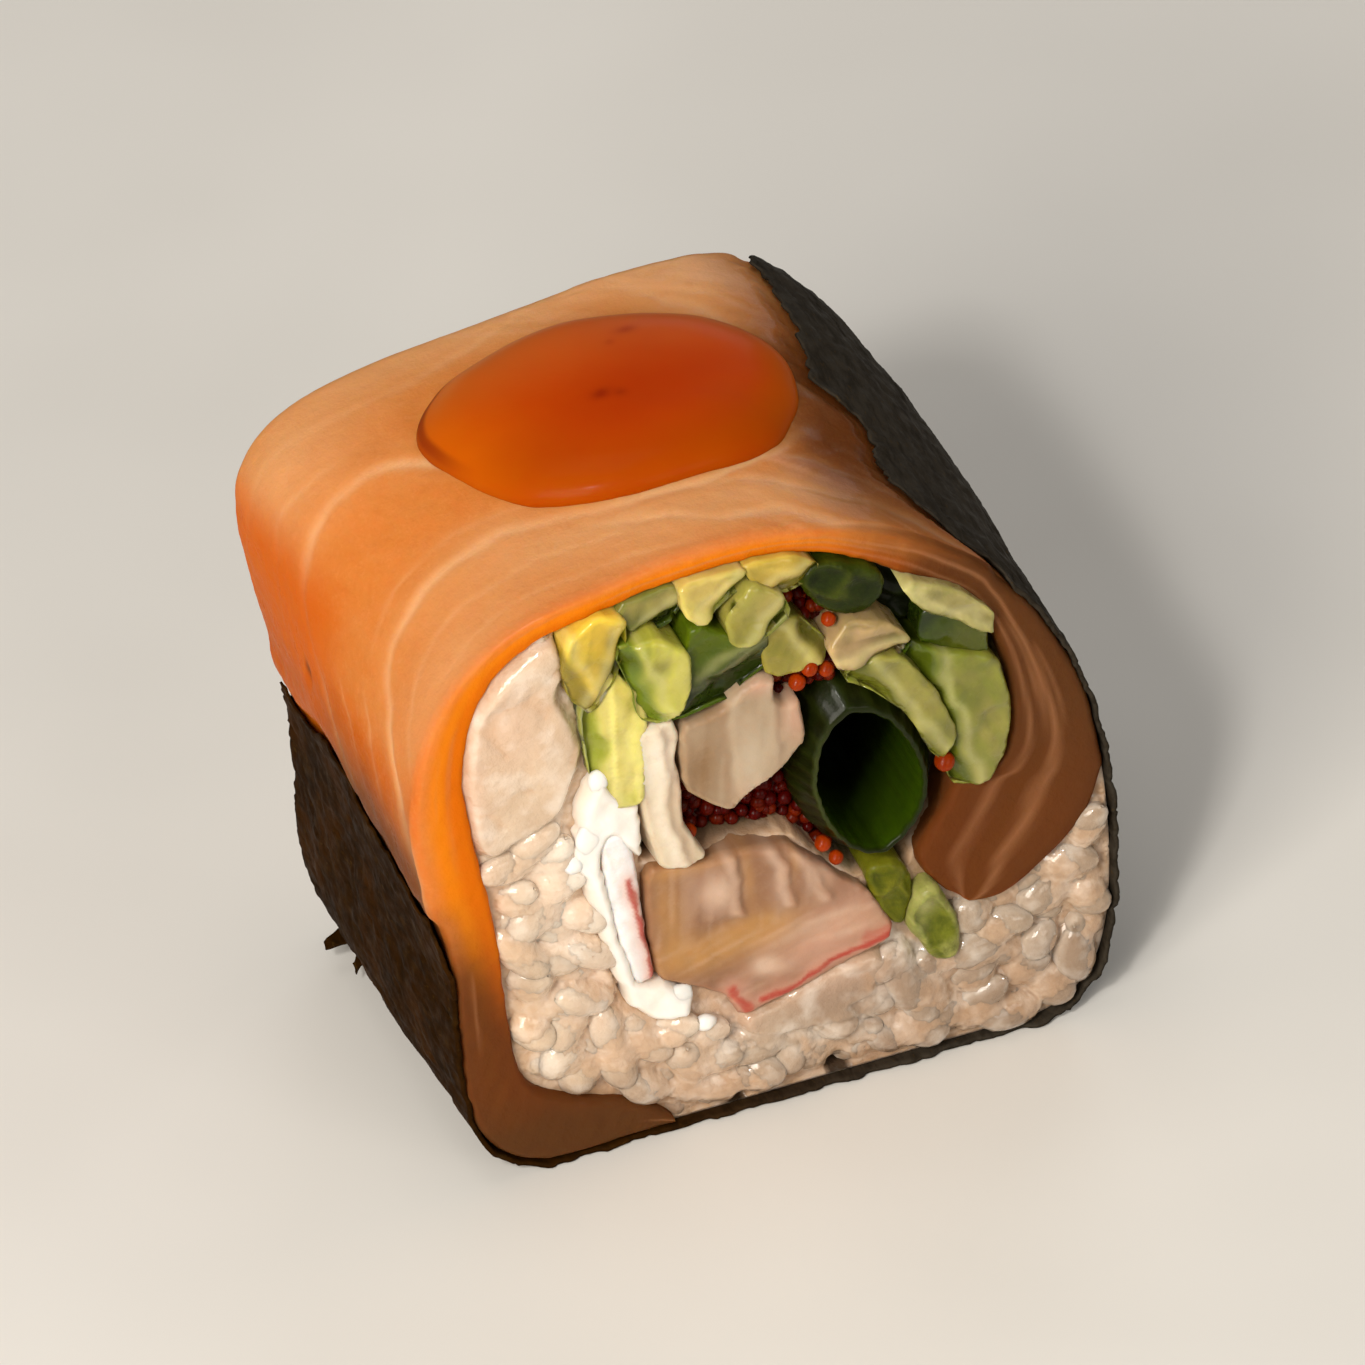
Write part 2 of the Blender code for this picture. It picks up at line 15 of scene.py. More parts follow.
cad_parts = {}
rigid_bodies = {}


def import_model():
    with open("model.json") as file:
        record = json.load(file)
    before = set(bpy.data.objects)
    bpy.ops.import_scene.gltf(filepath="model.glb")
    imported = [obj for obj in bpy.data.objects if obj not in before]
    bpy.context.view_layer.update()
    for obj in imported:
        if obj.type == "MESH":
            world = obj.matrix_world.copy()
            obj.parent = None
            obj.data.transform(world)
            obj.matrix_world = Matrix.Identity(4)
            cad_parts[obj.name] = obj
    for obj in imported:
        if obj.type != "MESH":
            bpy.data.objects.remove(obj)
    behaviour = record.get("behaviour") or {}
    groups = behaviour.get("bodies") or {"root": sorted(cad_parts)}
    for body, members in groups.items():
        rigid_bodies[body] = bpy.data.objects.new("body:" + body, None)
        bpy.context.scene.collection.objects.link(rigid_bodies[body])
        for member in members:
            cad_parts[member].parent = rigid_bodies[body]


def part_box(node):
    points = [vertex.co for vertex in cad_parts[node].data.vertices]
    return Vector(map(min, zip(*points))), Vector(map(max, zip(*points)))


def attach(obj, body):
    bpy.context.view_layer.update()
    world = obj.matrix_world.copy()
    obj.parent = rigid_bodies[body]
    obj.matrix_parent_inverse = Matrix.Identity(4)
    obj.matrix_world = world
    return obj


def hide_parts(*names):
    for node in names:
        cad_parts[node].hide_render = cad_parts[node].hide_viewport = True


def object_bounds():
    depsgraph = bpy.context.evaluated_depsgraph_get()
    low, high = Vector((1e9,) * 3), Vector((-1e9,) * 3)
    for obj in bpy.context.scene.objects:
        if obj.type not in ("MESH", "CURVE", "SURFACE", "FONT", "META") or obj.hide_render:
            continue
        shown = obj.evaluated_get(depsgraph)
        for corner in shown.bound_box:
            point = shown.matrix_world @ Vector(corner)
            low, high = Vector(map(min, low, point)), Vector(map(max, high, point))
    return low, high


for old in list(bpy.data.objects):
    bpy.data.objects.remove(old, do_unlink=True)
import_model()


def box_lists(box):
    return [[float(c) for c in corner] for corner in box]


cad_box = box_lists(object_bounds())

# ---------------------------------------------------------------- named sizes
HALF_LENGTH = 12.4
FACE_SLANT = 0.055
BACK_SLANT = 0.018
BELLY = 0.014
LEAN = 0.55
SAUCE_X, SAUCE_Y = -2.5, 0.4
SAUCE_RX, SAUCE_RY, SAUCE_H = 10.4, 7.6, 1.9
SAUCE_TURN = -0.12
SQUARE_CORNERS = [(-17.5, 35.0, 7.6, -3.0, 1.5), (8.5, 37.5, 6.5, 0.9, 1.5)]
NORI_THICK = 0.26
SALMON_TUCK = 0.33  # how far the salmon lies inside the contour under the nori

CONTOUR = [
    (-1.0, 40.2), (-7.0, 39.7), (-12.5, 38.4), (-16.7, 35.5), (-19.2, 31.2),
    (-20.2, 26.0), (-19.8, 21.0), (-19.1, 15.0), (-19.1, 8.0), (-18.6, 4.2),
    (-17.3, 1.6), (-14.6, 0.0), (-10.0, 0.0), (0.0, 0.0), (10.0, 0.0),
    (14.6, 0.0), (17.6, 1.5), (19.3, 4.6), (20.1, 10.0), (20.1, 17.0),
    (19.3, 23.0), (17.3, 28.4), (14.2, 33.2), (9.6, 37.1), (4.4, 39.4),
]
SALMON_INSIDE = [
    (-7.0, 0.95), (-9.0, 2.7), (-12.6, 4.2), (-15.2, 6.4), (-15.8, 11.0),
    (-16.0, 18.0), (-16.8, 25.0), (-16.7, 30.0), (-14.8, 34.6), (-11.6, 36.9),
    (-7.0, 38.0), (-1.0, 38.5), (3.2, 37.9), (7.0, 35.9), (10.4, 33.2),
    (13.0, 30.8), (14.3, 27.5), (14.7, 23.5), (14.3, 20.3), (12.8, 18.9),
    (11.3, 18.9), (10.3, 17.4), (9.2, 15.7), (8.5, 14.2), (9.2, 12.4), (10.6, 11.0),
]
SALMON_CURL = [(18.6, 14.3), (16.2, 11.8), (13.4, 10.2), (11.4, 10.1)]
SCALLION = [
    (2.1, 21.6), (2.7, 25.4), (4.8, 28.0), (7.6, 26.8), (9.4, 23.6),
    (9.8, 20.2), (8.7, 17.0), (6.8, 15.2), (4.8, 15.9), (2.9, 18.4),
]
BORE = [
    (2.9, 21.6), (3.4, 24.6), (5.1, 26.3), (7.2, 25.3), (8.6, 22.6),
    (9.0, 20.2), (8.1, 17.7), (6.6, 16.2), (5.0, 16.8), (3.6, 18.8),
]
OUTLINES = {
    "crab_chunk": [(-4.5, 28.5), (-2.0, 29.0), (-1.3, 30.0), (0.2, 30.6), (1.0, 30.3),
        (0.8, 29.0), (1.4, 28.2), (2.3, 28.3), (2.4, 25.5), (1.0, 23.9), (-1.2, 22.8),
        (-2.1, 22.0), (-2.9, 22.6), (-4.6, 24.3)],
    "crab_strip_upper": [(-6.9, 29.0), (-5.1, 29.3), (-4.8, 28.2), (-5.2, 26.5),
        (-4.9, 24.4), (-5.1, 22.0), (-4.3, 20.0), (-3.9, 19.3), (-5.0, 18.8),
        (-6.3, 19.2), (-6.8, 21.5), (-7.1, 25.0)],
    "crab_stick": [(-7.1, 18.8), (-4.2, 18.4), (-2.8, 18.5), (-0.5, 18.3), (1.0, 18.0),
        (2.4, 16.4), (3.8, 14.6), (5.2, 13.2), (6.6, 10.3), (6.3, 9.4), (3.4, 8.5),
        (0.3, 7.6), (-2.5, 6.9), (-3.2, 8.6), (-5.0, 9.9), (-7.0, 11.1), (-7.4, 15.0)],
    "crab_strip_side": [(-9.5, 22.0), (-8.2, 22.4), (-7.9, 19.0), (-7.8, 15.0),
        (-7.5, 11.6), (-8.4, 11.4), (-9.0, 14.5), (-9.6, 18.5)],
    "roe_main": [(-4.6, 24.2), (-2.0, 25.0), (1.5, 25.2), (2.2, 22.0), (3.2, 18.0),
        (4.6, 15.2), (3.8, 14.4), (2.3, 16.2), (0.8, 18.0), (-2.7, 18.6), (-4.0, 19.5),
        (-5.0, 21.8)],
    "roe_upper": [(0.8, 30.5), (2.5, 30.7), (5.2, 29.4), (4.6, 28.2), (2.6, 28.4),
        (1.3, 28.3)],
    "cucumber_top_left": [(-10.4, 36.8), (-8.6, 37.7), (-7.4, 37.3), (-7.4, 35.6),
        (-8.2, 33.4), (-9.4, 31.6), (-10.3, 32.8), (-10.6, 35.0)],
    "cucumber_long": [(-9.6, 31.2), (-8.0, 33.0), (-6.8, 31.6), (-6.7, 29.2),
        (-7.2, 26.6), (-7.4, 24.6), (-8.8, 24.5), (-9.6, 27.5)],
    "cucumber_round": [(-7.6, 35.0), (-5.6, 35.3), (-4.2, 34.2), (-4.2, 32.2),
        (-4.9, 30.5), (-5.7, 29.9), (-6.6, 30.4), (-6.8, 32.4)],
    "cucumber_top_dark": [(-7.2, 37.7), (-4.2, 38.0), (-3.7, 36.9), (-4.6, 35.7),
        (-6.4, 36.0)],
    "cucumber_edge": [(-3.6, 38.2), (-0.4, 38.3), (0.0, 37.7), (-1.4, 36.8),
        (-2.9, 35.9), (-3.5, 36.8)],
    "cucumber_block": [(-1.3, 35.6), (0.2, 37.2), (1.5, 36.3), (1.9, 34.9),
        (0.6, 33.9), (-1.2, 34.2)],
    "cucumber_skin_slice": [(-4.0, 33.3), (-3.2, 35.4), (-1.6, 34.2), (0.5, 33.7),
        (0.6, 31.5), (-1.0, 30.7), (-1.5, 30.0), (-4.8, 29.4), (-4.9, 30.4)],
    "cucumber_olive": [(0.9, 33.6), (2.3, 34.0), (4.0, 31.6), (3.8, 30.6),
        (0.9, 30.8), (0.7, 32.2)],
    "cucumber_top_right": [(0.3, 38.3), (2.8, 38.0), (4.0, 37.1), (3.6, 36.4),
        (2.2, 36.0), (0.6, 37.4)],
    "cucumber_pink_edge": [(4.4, 31.4), (5.6, 32.6), (7.5, 31.9), (8.6, 30.6),
        (8.1, 29.8), (6.0, 29.8), (4.9, 30.1)],
    "cucumber_diagonal": [(5.4, 28.9), (6.8, 29.6), (8.1, 29.4), (9.9, 26.2),
        (10.8, 23.2), (10.0, 21.8), (8.6, 25.6), (6.6, 27.9)],
    "leaf_top": [(3.4, 36.0), (4.3, 36.8), (7.0, 35.8), (7.8, 34.2), (6.5, 33.1),
        (5.0, 33.6), (4.0, 34.8)],
    "roe_top": [(2.3, 35.6), (3.6, 34.8), (4.8, 33.4), (6.2, 32.8), (5.6, 32.7),
        (4.3, 31.8), (3.0, 33.6)],
    "cucumber_rim": [(9.0, 34.3), (10.3, 32.0), (12.2, 30.9), (13.4, 29.5),
        (13.6, 30.6), (11.8, 32.6)],
    "cucumber_right_dark": [(10.3, 31.4), (12.0, 30.8), (13.3, 29.2), (13.2, 27.8),
        (11.4, 28.6), (9.9, 29.9)],
    "cucumber_slab": [(9.0, 29.4), (11.2, 28.4), (13.6, 27.4), (14.2, 23.6),
        (13.7, 20.4), (12.4, 18.8), (10.9, 19.4), (11.2, 23.0), (10.3, 26.4)],
    "leaf_right": [(8.0, 35.2), (9.4, 33.6), (10.2, 31.4), (9.4, 30.2), (8.8, 31.2),
        (7.6, 32.4), (7.0, 33.2)],
    "scallion_bit": [(5.8, 14.2), (7.4, 14.2), (7.9, 12.4), (7.3, 10.4), (6.8, 10.4),
        (5.9, 12.2)],
    "scallion_ring_bit": [(8.4, 12.0), (9.2, 12.0), (10.1, 9.4), (9.8, 7.2),
        (8.7, 7.9), (7.7, 10.2)],
    "cream_cheese": [(-9.2, 26.6), (-8.4, 24.2), (-7.4, 23.8), (-7.5, 20.0),
        (-9.0, 22.6), (-9.9, 21.6), (-9.9, 18.0), (-9.3, 14.0), (-8.6, 11.0),
        (-6.9, 10.8), (-5.3, 9.4), (-5.9, 8.1), (-8.2, 8.2), (-9.9, 11.0),
        (-10.8, 16.0), (-11.1, 20.6), (-10.5, 25.0)],
}


# ------------------------------------------------------------- small helpers
def ease(a, b, x):
    t = np.clip((np.asarray(x, float) - a) / (b - a), 0.0, 1.0)
    return t * t * (3 - 2 * t)


def _grid_value(ix, iy, iz, seed):
    h = ix * 73856093 ^ iy * 19349663 ^ iz * 83492791 ^ (seed * 668265263 + 97)
    h &= 0xFFFFFFFF
    h = ((h ^ (h >> 15)) * 0x2C1B3C6D) & 0xFFFFFFFF
    h = ((h ^ (h >> 12)) * 0x297A2D39) & 0xFFFFFFFF
    h ^= h >> 15
    return (h & 0xFFFFFF) / float(0xFFFFFF) * 2 - 1


def noise(x, y, z=0.0, seed=0):
    """Smooth value noise, -1 to 1, one cell to each unit."""
    x, y, z = np.broadcast_arrays(
        np.asarray(x, float), np.asarray(y, float), np.asarray(z, float)
    )
    fx, fy, fz = np.floor(x), np.floor(y), np.floor(z)
    ix, iy, iz = fx.astype(np.int64), fy.astype(np.int64), fz.astype(np.int64)
    u, v, w = x - fx, y - fy, z - fz
    u, v, w = (q * q * q * (q * (q * 6 - 15) + 10) for q in (u, v, w))
    total = 0.0
    for dx in (0, 1):
        for dy in (0, 1):
            for dz in (0, 1):
                share = (u if dx else 1 - u) * (v if dy else 1 - v) * (w if dz else 1 - w)
                total = total + share * _grid_value(ix + dx, iy + dy, iz + dz, seed)
    return total


def fbm(x, y, z=0.0, seed=0, octaves=3):
    total, weight, top = 0.0, 1.0, 0.0
    for k in range(octaves):
        f = 2.03**k
        total = total + weight * noise(
            np.asarray(x) * f + 11.3 * k, np.asarray(y) * f - 7.1 * k,
            np.asarray(z) * f + 3.7 * k, seed + k,
        )
        top += weight
        weight *= 0.5
    return total / top * 1.5


def cells(x, y, seed=0):
    """Jittered cells of unit size: (a random number of the nearest cell, how near its edge)."""
    x, y = np.asarray(x, float), np.asarray(y, float)
    bx, by = np.floor(x).astype(np.int64), np.floor(y).astype(np.int64)
    zero = np.zeros_like(bx)
    first = np.full(x.shape, 9.0)
    second = np.full(x.shape, 9.0)
    name = np.zeros(x.shape)
    for dx in (-1, 0, 1):
        for dy in (-1, 0, 1):
            cx, cy = bx + dx, by + dy
            px = cx + 0.5 + 0.42 * _grid_value(cx, cy, zero, seed)
            py = cy + 0.5 + 0.42 * _grid_value(cx, cy, zero + 1, seed)
            d = np.hypot(x - px, y - py)
            nearer = d < first
            second = np.where(nearer, first, np.minimum(second, d))
            name = np.where(nearer, _grid_value(cx, cy, zero + 2, seed), name)
            first = np.where(nearer, d, first)
    return name, second - first


def catmull(points, closed=True, per=12):
    p = np.asarray(points, float)
    n = len(p)
    t = (np.arange(per) / per)[:, None]
    out = []
    for i in range(n if closed else n - 1):
        if closed:
            a, b, c, d = (p[(i + k) % n] for k in (-1, 0, 1, 2))
        else:
            a, b, c, d = (p[min(max(i + k, 0), n - 1)] for k in (-1, 0, 1, 2))
        out.append(
            0.5 * (2 * b + (c - a) * t + (2 * a - 5 * b + 4 * c - d) * t * t
                   + (3 * b - a - 3 * c + d) * t**3)
        )
    if not closed:
        out.append(p[-1:])
    return np.concatenate(out)


def evenly(line, count, closed=False):
    line = np.asarray(line, float)
    if closed:
        line = np.concatenate([line, line[:1]])
    reach = np.concatenate([[0], np.cumsum(np.hypot(*np.diff(line, axis=0).T))])
    at = np.linspace(0, reach[-1], count + 1)[:-1] if closed else np.linspace(0, reach[-1], count)
    return np.stack([np.interp(at, reach, line[:, c]) for c in (0, 1)], 1)


def line_distance(px, py, line):
    """Distance of each point to an open line, and how far along it, 0 to 1."""
    line = np.asarray(line, float)
    best = np.full(np.shape(px), 1e9)
    along = np.zeros(np.shape(px))
    lengths = np.hypot(*np.diff(line, axis=0).T)
    done = 0.0
    for (ax, ay), (bx, by), size in zip(line[:-1], line[1:], lengths):
        vx, vy = bx - ax, by - ay
        s = np.clip(((px - ax) * vx + (py - ay) * vy) / max(1e-9, vx * vx + vy * vy), 0, 1)
        d = np.hypot(px - ax - s * vx, py - ay - s * vy)
        near = d < best
        best = np.where(near, d, best)
        along = np.where(near, (done + s * size) / lengths.sum(), along)
        done += size
    return best, along


def closed_distance(px, py, loop):
    return line_distance(px, py, np.concatenate([loop, loop[:1]]))[0]


def inside(px, py, loop):
    px, py = np.asarray(px, float), np.asarray(py, float)
    hit = np.zeros(px.shape, bool)
    x1, y1 = loop[:, 0], loop[:, 1]
    x2, y2 = np.roll(x1, -1), np.roll(y1, -1)
    for a, b, c, d in zip(x1, y1, x2, y2):
        if b == d:
            continue
        cross = ((b > py) != (d > py)) & (px < (c - a) * (py - b) / (d - b) + a)
        hit ^= cross
    return hit


def area(loop):
    x, y = loop[:, 0], loop[:, 1]
    return 0.5 * np.sum(x * np.roll(y, -1) - np.roll(x, -1) * y)


def anticlockwise(loop):
    return loop if area(loop) > 0 else loop[::-1].copy()


def grown(loop, by):
    loop = anticlockwise(np.asarray(loop, float))
    before = loop - np.roll(loop, 1, 0)
    after = np.roll(loop, -1, 0) - loop
    before /= np.maximum(1e-9, np.linalg.norm(before, axis=1))[:, None]
    after /= np.maximum(1e-9, np.linalg.norm(after, axis=1))[:, None]
    n1 = np.stack([before[:, 1], -before[:, 0]], 1)
    n2 = np.stack([after[:, 1], -after[:, 0]], 1)
    mid = n1 + n2
    mid /= np.maximum(1e-9, np.linalg.norm(mid, axis=1))[:, None]
    return loop + mid * (by / np.maximum(0.6, (mid * n1).sum(1)))[:, None]


def blobs(x, z, spots):
    """Soft round patches: (x, z, half width, half height, strength)."""
    total = np.zeros(np.shape(x))
    for cx, cz, rx, rz, k in spots:
        total = total + k * np.exp(-(((x - cx) / rx) ** 2) - ((z - cz) / rz) ** 2)
    return total


def turned(x, z, degrees):
    """(along, across) of a direction in the section, in mm."""
    c, s = math.cos(math.radians(degrees)), math.sin(math.radians(degrees))
    return x * c + z * s, -x * s + z * c


def place(x, t, z, forward=0.0):
    """The same run of the roll as the frame's: one section point at t, in mm."""
    x, t, z = np.asarray(x, float), np.asarray(t, float), np.asarray(z, float)
    front = -HALF_LENGTH + 0.3 - FACE_SLANT * (x + 19.3)
    back = HALF_LENGTH - BACK_SLANT * (x + 19.3)
    y = front + (back - front) * (t + 1) / 2 + forward
    fat = 1 + BELLY * (1 - t * t) - 0.006 * t
    aside = LEAN * t * z / 40 + 0.25 * np.sin(2.2 * t + 0.4) * z / 40
    up = 0.004 * z * np.sin(3 * t)
    for cx, cz, reach, dx, dz in SQUARE_CORNERS:
        near = np.exp(-((x - cx) ** 2 + (z - cz) ** 2) / reach**2)
        aside = aside + dx * near * ease(-0.7, 1.0, t)
        up = up + dz * near * ease(-0.7, 1.0, t)
    return np.stack(np.broadcast_arrays(x * fat + aside, y, z * fat + up), -1)


# The frame is centred on its own box: read where one node ended up.
def frame_shift():
    outer = catmull(SCALLION, True, 3)
    bore = catmull(BORE, True, 3)
    spots = []
    for k in range(5):
        t = -1 + 2 * k / 4
        push = -0.5 if k == 0 else (-0.5 if t < 0 and k == 0 else (0.4 if k == 4 else 0.0))
        for loop in (outer, bore):
            spots.append(place(loop[:, 0], t, loop[:, 1], push))
    spots = np.concatenate(spots)
    low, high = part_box("scallion_tube")
    low, high = np.array(low) * 1000, np.array(high) * 1000
    middle = (low + high) / 2 - (spots.min(0) + spots.max(0)) / 2
    return middle


SHIFT = frame_shift()


class Ring:
    """The outer contour, read by the distance travelled along it."""

    def __init__(self):
        p = catmull(CONTOUR, True, 40)
        p[:, 1] = np.maximum(0.0, p[:, 1])
        self.points = p
        step = np.hypot(*(np.roll(p, -1, 0) - p).T)
        self.reach = np.concatenate([[0], np.cumsum(step)])
        self.length = self.reach[-1]
        along = np.roll(p, -1, 0) - np.roll(p, 1, 0)
        along /= np.linalg.norm(along, axis=1)[:, None]
        self.inward = np.stack([-along[:, 1], along[:, 0]], 1)

    def at(self, s, inset=0.0):
        s = np.asarray(s, float) % self.length
        pts = np.concatenate([self.points, self.points[:1]])
        inw = np.concatenate([self.inward, self.inward[:1]])
        spot = np.stack([np.interp(s, self.reach, pts[:, c]) for c in (0, 1)], -1)
        into = np.stack([np.interp(s, self.reach, inw[:, c]) for c in (0, 1)], -1)
        return spot + into * np.asarray(inset)[..., None]

    def nearest(self, x, z):
        return self.reach[int(np.argmin(np.hypot(*(self.points - (x, z)).T)))]


ring = Ring()
TOP_LEFT = ring.nearest(-19.3, 18.6)
TOP_RIGHT = ring.nearest(11.0, 36.1)


def jag(t, seed, size):
    """A torn edge: small steps and teeth along t."""
    y = np.asarray(t) * HALF_LENGTH
    return size * (0.55 * noise(y * 0.8, 0, 0, seed) + 0.3 * noise(y * 2.3, 0, 0, seed + 1)
                   + 0.22 * noise(y * 6.1, 0, 0, seed + 2))


def nori_left(t):
    rise = -0.2 + 2.6 * np.exp(-(((t - 0.02) / 0.6) ** 2)) + 0.4 * np.sin(7.3 * t)
    return TOP_LEFT - rise - jag(t, 5, 0.32)


def nori_right(t):
    step = 1.7 * ease(-0.14, 0.02, t)
    drop = 3.9 * ease(0.45, 1.0, -t) + 2.2 * ease(0.78, 1.0, -t)
    drop = drop - 0.9 * np.exp(-(((t - 0.05) / 0.42) ** 2))
    return TOP_RIGHT + 0.4 + step - drop + 0.35 * np.sin(9.0 * t + 1.0) + jag(t, 15, 0.7)


# ---------------------------------------------------------------- mesh making
def mesh_object(name, points, polygons, fields=None, smooth=True):
    """points in mm; polygons is a list of index arrays, one row a face."""
    co = ((np.asarray(points, float) + SHIFT) * 0.001).astype(np.float32)
    polygons = [np.asarray(p, np.int32) for p in polygons if len(p)]
    sizes = np.concatenate([np.full(len(p), p.shape[1], np.int32) for p in polygons])
    loops = np.concatenate([p.ravel() for p in polygons]).astype(np.int32)
    mesh = bpy.data.meshes.new(name)
    mesh.vertices.add(len(co))
    mesh.vertices.foreach_set("co", co.ravel())
    mesh.loops.add(len(loops))
    mesh.loops.foreach_set("vertex_index", loops)
    mesh.polygons.add(len(sizes))
    starts = np.concatenate([[0], np.cumsum(sizes)[:-1]]).astype(np.int32)
    mesh.polygons.foreach_set("loop_start", starts)
    mesh.update(calc_edges=True)
    for key, value in (fields or {}).items():
        layer = mesh.attributes.new(key, "FLOAT", "POINT")
        full = np.broadcast_to(np.asarray(value, np.float32), (len(co),))
        layer.data.foreach_set("value", np.ascontiguousarray(np.clip(full, 0, 1)))
    mesh.validate()
    if smooth:
        mesh.shade_smooth()
    obj = bpy.data.objects.new(name, mesh)
    bpy.context.scene.collection.objects.link(obj)
    return obj


def face_out(points, polygons):
    """Turns every face round where the mesh's volume comes out negative."""
    total = 0.0
    for p in polygons:
        a, b = points[p[:, 0]], points[p[:, 1]]
        for k in range(2, p.shape[1]):
            c = points[p[:, k]]
            total += np.einsum("ij,ij->i", a, np.cross(b, c)).sum()
            b = c
    return polygons if total > 0 else [p[:, ::-1] for p in polygons]


def vertex_normals(points, polygons):
    out = np.zeros_like(points)
    for p in polygons:
        a, b, c = points[p[:, 0]], points[p[:, 1]], points[p[:, 2]]
        n = np.cross(b - a, c - a)
        if p.shape[1] == 4:
            d = points[p[:, 3]]
            n = np.cross(c - a, d - b)
        for k in range(p.shape[1]):
            np.add.at(out, p[:, k], n)
    return out / np.maximum(1e-12, np.linalg.norm(out, axis=1))[:, None]


def lump(x, z, t, forward, size, seed, detail=(18, 12), squash=(1, 1, 1)):
    """One soft dab or bead: points and quads of a lumpy ball."""
    around, up = detail
    th = np.linspace(0, np.pi, up + 1)[1:-1]
    ph = np.linspace(0, 2 * np.pi, around, endpoint=False)
    T, P = np.meshgrid(th, ph, indexing="ij")
    d = np.stack([np.sin(T) * np.cos(P), np.sin(T) * np.sin(P), np.cos(T)], -1).reshape(-1, 3)
    d = np.concatenate([d, [[0, 0, 1], [0, 0, -1]]])
    r = size * (1 + 0.12 * noise(d[:, 0] * 1.3, d[:, 1] * 1.3, d[:, 2] * 1.3, seed))
    centre = place(x, t, z, forward)
    pts = centre + d * r[:, None] * np.array(squash)
    rows = up - 1
    idx = np.arange(rows * around).reshape(rows, around)
    nxt = np.roll(idx, -1, 1)
    quads = np.stack([idx[:-1], idx[1:], nxt[1:], nxt[:-1]], -1).reshape(-1, 4)
    n = rows * around
    top = np.stack([idx[0], nxt[0], np.full(around, n)], -1)
    bottom = np.stack([nxt[-1], idx[-1], np.full(around, n + 1)], -1)
    return pts, quads, np.concatenate([top, bottom])


def joined(name, lumps, fields=None):
    points, quads, tris, count = [], [], [], 0
    for p, q, s in lumps:
        points.append(p)
        quads.append(q + count)
        tris.append(s + count)
        count += len(p)
    points = np.concatenate(points)
    polygons = [np.concatenate(quads), np.concatenate(tris)]
    polygons = face_out(points, polygons)
    return mesh_object(name, points, polygons, fields)


# ------------------------------------------------------------------ materials
def srgb(r, g, b):
    """A display colour, 0 to 255, as the shader's linear one."""
    out = []
    for c in (r, g, b):
        c /= 255.0
        out.append(c / 12.92 if c <= 0.04045 else ((c + 0.055) / 1.055) ** 2.4)
    return tuple(out)


